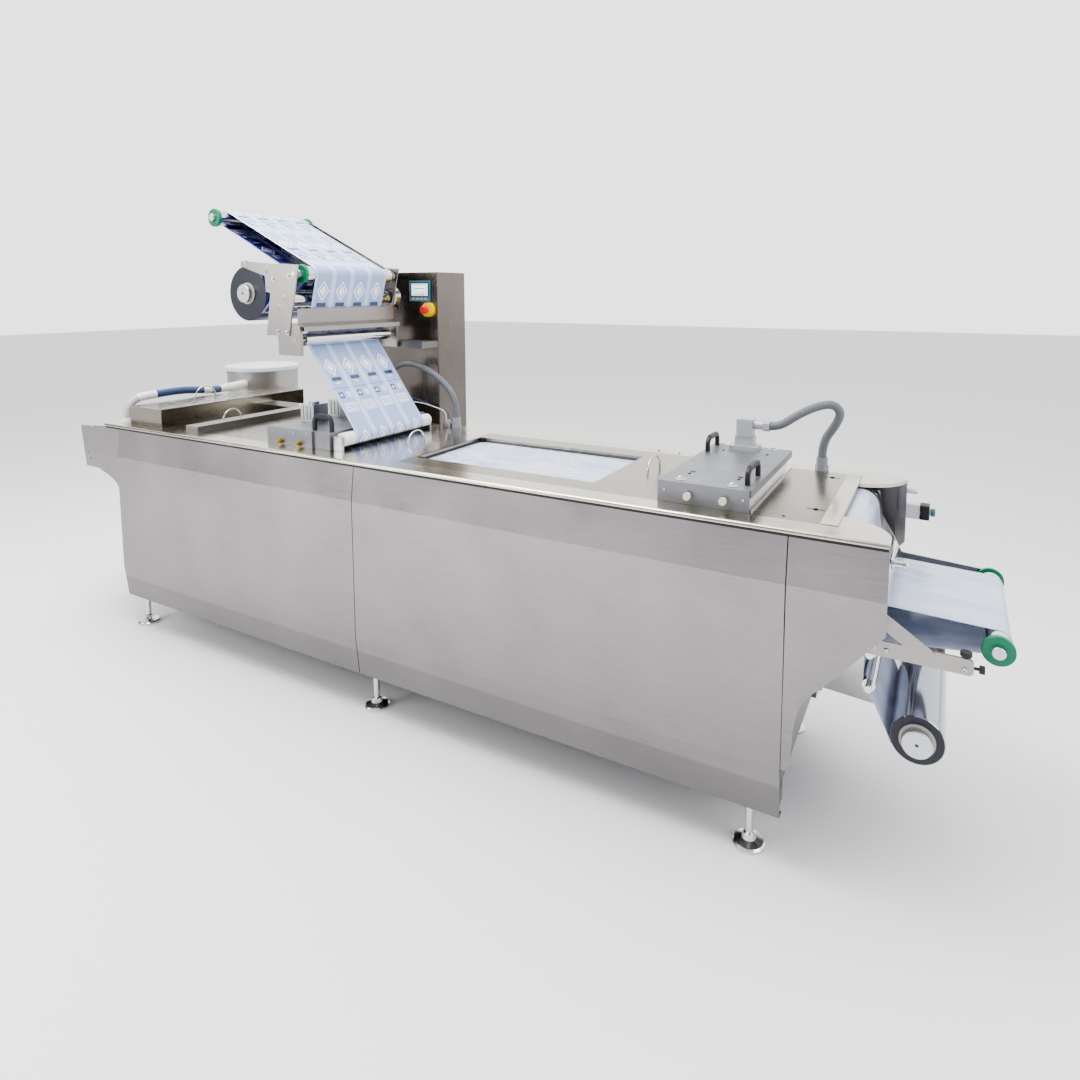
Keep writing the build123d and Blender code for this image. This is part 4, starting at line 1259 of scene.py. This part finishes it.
def seat(node, start, ahead):
    """Where a ray from a point of the drawing meets a solid, and the way its face looks."""
    hit, place, out, _ = frame["nodes"][node].ray_cast(spot(*start), Vector(ahead))
    if not hit:
        raise ValueError(f"no face of {node} from {start}")
    return place, out


def socket_screw(shape, place, out, r):
    """A cylinder head with a socket in it."""
    profile = [(-0.3, 0), (-0.3, r), (0.7 * r, r), (0.9 * r, 0.85 * r), (0.9 * r, 0.5 * r)]
    turned(shape, place, out, profile + [(0.45 * r, 0.45 * r), (0.45 * r, 0)], 12)


def washer_bolt(shape, place, out, r):
    """A hexagon head on a washer."""
    turned(shape, place, out, [(-0.3, 0), (-0.3, 1.9 * r), (1.5, 1.9 * r), (1.5, 0)], 16)
    head = [(1.4, 0), (1.4, r), (0.9 * r, r), (1.1 * r, 0.8 * r), (1.1 * r, 0)]
    turned(shape, place, out, head, 6)


def dark_bore(shape, place, out, r):
    """A counterbore seen from above: a shallow ring with a dark screw down in it. The dark
    is partly the blackened screw and partly painted shade in the bore.
    """
    profile = [(-0.3, 0), (-0.3, r), (0.5, r), (0.5, 0.8 * r), (0.2, 0.75 * r), (0.2, 0)]
    turned(shape, place, out, profile, 16)


print("three kinds of screw")

# %% Screws on their plates
DOWN, INWARD, LEFTWARD = (0, 0, -1), (0, 1, 0), (-1, 0, 0)
ABOVE, IN_FRONT = 1200, -600
# The piece, its kind, the radius of a head, what it sits on, the way in from outside,
# and a point outside from which each screw is found.
SCREWS = [
    ("forming_cover_bolts", washer_bolt, 9, "forming_cover", DOWN,
     [(x, y, ABOVE) for x in (2848, 3012) for y in (-270, 280)]),
    ("forming_cover_bores", dark_bore, 9, "forming_cover", DOWN,
     [(x, y, ABOVE) for x in (2852, 3008) for y in (-162, 187)]),
    ("forming_plate_screws", socket_screw, 4, "station_front_plates", INWARD,
     [(2808, IN_FRONT, 1052), (3054, IN_FRONT, 1052), (1014, IN_FRONT, 1069),
      (1147, IN_FRONT, 1071), (1226, IN_FRONT, 1076)]),
    ("deck_end_screws", dark_bore, 6, "deck_plates", DOWN,
     [(3304, y, 1100) for y in (-282, -160, -39, 84, 206, 286)] + [(3166, -278, 1100)]),
    ("deck_rail_screws", socket_screw, 5, "deck_rails", DOWN,
     [(2537, 345, 1100), (2622, 347, 1100)]),
    ("cover_plate_screw", socket_screw, 5, "cover_plate", DOWN, [(1490, -261, 1100)]),
    ("outfeed_cheek_bolts", socket_screw, 5.5, "outfeed_cheeks", INWARD,
     [(-237, IN_FRONT, 985), (-290, IN_FRONT, 881), (-288, IN_FRONT, 846),
      (-278, IN_FRONT, 815)]),
    ("slitter_side_screws", socket_screw, 6, "slitter_cover", LEFTWARD,
     [(400, y, 1078) for y in (-283, 264)]),
    ("slitter_top_screws", socket_screw, 5, "slitter_cover", DOWN,
     [(246, y, ABOVE) for y in (-310, 40, 367)]),
    ("unwinder_bolts", washer_bolt, 6.5, "unwinder_plates", INWARD,
     [(1148, IN_FRONT, 1729), (1052, IN_FRONT, 1718), (1071, IN_FRONT, 1497),
      (1126, IN_FRONT, 1494), (885, IN_FRONT, 1790)]),
    ("near_bar_bolts", socket_screw, 6, "infeed_bar_front", INWARD,
     [(3424, IN_FRONT, 690), (3455, IN_FRONT, 688), (3643, IN_FRONT, 682)]),
]
for name, kind, radius, node, ahead, starts in SCREWS:
    heads = bmesh.new()
    for start in starts:
        place, out = seat(node, start, ahead)
        kind(heads, place, out, radius)
    dark = kind is dark_bore
    material = blackened_and_hole_shade if dark else zinc
    finish_piece(name, heads, [material], 30)
print(sum(len(row[-1]) for row in SCREWS), "screws in", len(SCREWS), "pieces")

# %% [markdown]
# ## Small fittings
#
# What follows is pressed, cut, turned on a lathe or milled from a block: a ring in the
# unwinder plate, the strip that leads the film onto the deck, two slots in the deck,
# the cap and the knob of the air regulator, a chromed spindle and the brake's knob.
# A turned piece is one outline, spun round its axis.

# %% Ring, strip and slots
ring_place, ring_out = seat("unwinder_plates", (1099, IN_FRONT, 1628), INWARD)
ring = bmesh.new()
turned(ring, ring_place, ring_out, [(-0.3, 22), (1.2, 23), (1.2, 26), (-0.3, 27), (-0.3, 22)], 40)
finish_piece("pressed_ring", ring, [plate_steel], 30)

strip = bmesh.new()
block(strip, (3270, -300, 1014.8), (3318.5, 300, 1016.2), 0.5)
finish_piece("film_lead_strip", strip, [rail_steel], 30)


def slot_shape(shape, start, end, y, half, low, high):
    """A long hole with round ends that lies along X, as a thin dark inlay: painted shade in the
    hole.
    """
    made = bmesh.ops.create_circle(shape, cap_ends=True, segments=16, radius=half * MM)
    for corner in made["verts"]:
        shift = start if corner.co.x < 0 else end
        corner.co += spot(shift, y, low)
    faces = list({face for corner in made["verts"] for face in corner.link_faces})
    raised = bmesh.ops.extrude_face_region(shape, geom=faces)["geom"]
    tops = [g for g in raised if isinstance(g, bmesh.types.BMVert)]
    bmesh.ops.translate(shape, verts=tops, vec=(0, 0, (high - low) * MM))


# Dark inlays where the slots would show shade: painted shade.
slots = bmesh.new()
for x, y in ((3228, 237), (3238, -168)):
    slot_shape(slots, x - 24, x + 24, y, 3.2, 1014.9, 1015.4)
    turned(slots, spot(x, y, 1015), (0, 0, 1), [(0, 0), (0, 7), (2.2, 7), (2.6, 6), (2.6, 0)], 16)
finish_piece("deck_slots", slots, [blackened_and_hole_shade], 30)
print("a ring, a strip and two slots")

# %% Regulator, spindle and knob
cap = bmesh.new()
block(cap, (3503.2, 366, 868), (3534, 416, 919), 4)
finish_piece("regulator_cap", cap, [black_nylon])
# The piece, its material and slot, the middle of its foot, its axis and its outline.
TURNED = [
    ("regulator_knob", teal_plastic, "panel_plastic", (3534, 391, 893), (1, 0, 0),
     [(0, 0), (0, 10), (3, 10), (4, 14), (15, 14), (17, 12.5), (18, 9), (18, 0)]),
    ("chromed_spindle", chrome, "polished_steel", (3459.2, -337, 949), (1, 0, 0),
     [(0, 0), (0, 14), (8, 14), (9, 12.5), (9, 9), (30, 9), (31, 12), (38, 12), (39, 9),
      (42, 7), (42, 0)]),
    ("brake_knob", black_nylon, "black_plastic", (3645, -296, 712), (0, 0, 1),
     [(-0.2, 0), (-0.2, 6), (6, 6), (6, 13), (8, 14.5), (17, 14.5), (19, 13), (19, 0)]),
]
for name, material, slot, foot, axis, outline in TURNED:
    shape = bmesh.new()
    turned(shape, spot(*foot), axis, outline)
    finish_piece(name, shape, [material], 30)
print("regulator, spindle and knob")

# %% [markdown]
# ## The loading place
#
# Clamping chains run along both edges of the film, just under the frame. From above
# only a dark gap shows between the frame and the film, drawn as thin dark strips that
# paint the shade down in it, and a black guide block sits in each corner where the film
# goes under the cover plate.

# %% Gaps and guide blocks
gap = bmesh.new()
# Painted shade: dark strips where the gap beside the film is in shade.
block(gap, (1738.4, -213.8, 1003), (1746, 213.8, 1004.4))
for side in (-1, 1):
    y0, y1 = sorted((side * 213.8, side * 210.4))
    block(gap, (1746, y0, 1003), (2518.8, y1, 1004.4))
finish_piece("film_gap_painted_shade", gap, [rubber_and_painted_gap_shade])
guides = bmesh.new()
for side in (-1, 1):
    y0, y1 = sorted((side * 200, side * 213.6))
    block(guides, (1739, y0, 1004), (1760, y1, 1017), 1.5)
finish_piece("film_guide_blocks", guides, [black_nylon])
print("gap seals and two guide blocks")

# %% [markdown]
# A folded rail runs along each edge of the deck. Under its bright edge a thin dark strip
# stands for the shadow in the gap between the rail and the panels: a painted shadow.

# %% Painted shadow under the deck rails
rail_shadow_strip = bmesh.new()
# A thin dark strip along each rail: painted shadow.
for side in (-1, 1):
    y0, y1 = sorted((side * 383.6, side * 386.4))
    block(rail_shadow_strip, (-108, y0, 993), (3456, y1, 1002.7), 0.6, 1)
finish_piece("deck_rail_painted_shadow", rail_shadow_strip, [rubber_and_painted_gap_shade])
print("a seal along each deck rail")

# %% [markdown]
# The green caps keep the film from running off its rollers. Each has the turned end of
# the roller's shaft in its middle.

# %% Roller hubs
hubs = bmesh.new()
for x, z in ((629, 1996), (1170, 1739), (3719, 733)):
    outline = [(0, 0), (0, 17), (13, 17), (14.5, 15.5), (14.5, 0)]
    turned(hubs, spot(x, -262, z), (0, -1, 0), outline)
finish_piece("roller_hubs", hubs, [pale_aluminium])
print("three hubs in the green caps")

# %% [markdown]
# Two thin cables come over the back of the sealing station and go down into plugs on
# the deck. Each is a tube round a smooth line through a few points, as the conduits are.

# %% Sensor cables behind the sealing station
CABLE_ACROSS = 5 * MM
PLUG_AT = (1434, 1452)
sockets = bmesh.new()
block(sockets, (1424, 338, 1015), (1462, 364, 1034), 2)
for x in PLUG_AT:
    outline = [(0, 0), (0, 7), (9, 7), (10, 5), (16, 4), (16, 0)]
    turned(sockets, spot(x, 351, 1034), (0, 0, 1), outline)
finish_piece("sensor_sockets", sockets, [pale_aluminium])
WHITE_ROUTE = [
    (1210, 297, 1089),
    (1222, 322, 1128),
    (1300, 350, 1118),
    (1395, 352, 1098),
    (PLUG_AT[0], 351, 1085),
    (PLUG_AT[0], 351, 1048),
]
BLUE_ROUTE = [
    (1190, 297, 1089),
    (1200, 330, 1150),
    (1290, 352, 1130),
    (1405, 352, 1088),
    (PLUG_AT[1], 351, 1090),
    (PLUG_AT[1], 351, 1048),
]
for name, material, corners in (
    ("white_sensor_cable", white_pvc, WHITE_ROUTE),
    ("blue_sensor_cable", hose_blue, BLUE_ROUTE),
):
    route = [spot(*corner) for corner in corners]
    points, length = evenly(spline_points(name + "_route", route), 6 * MM)
    shape = tube(points, lambda s: CABLE_ACROSS / 2, lambda s: 0, 10)
    cable = finish_piece(name, shape, [material], 80)
    print(name, "is", round(length, 3), "m long")
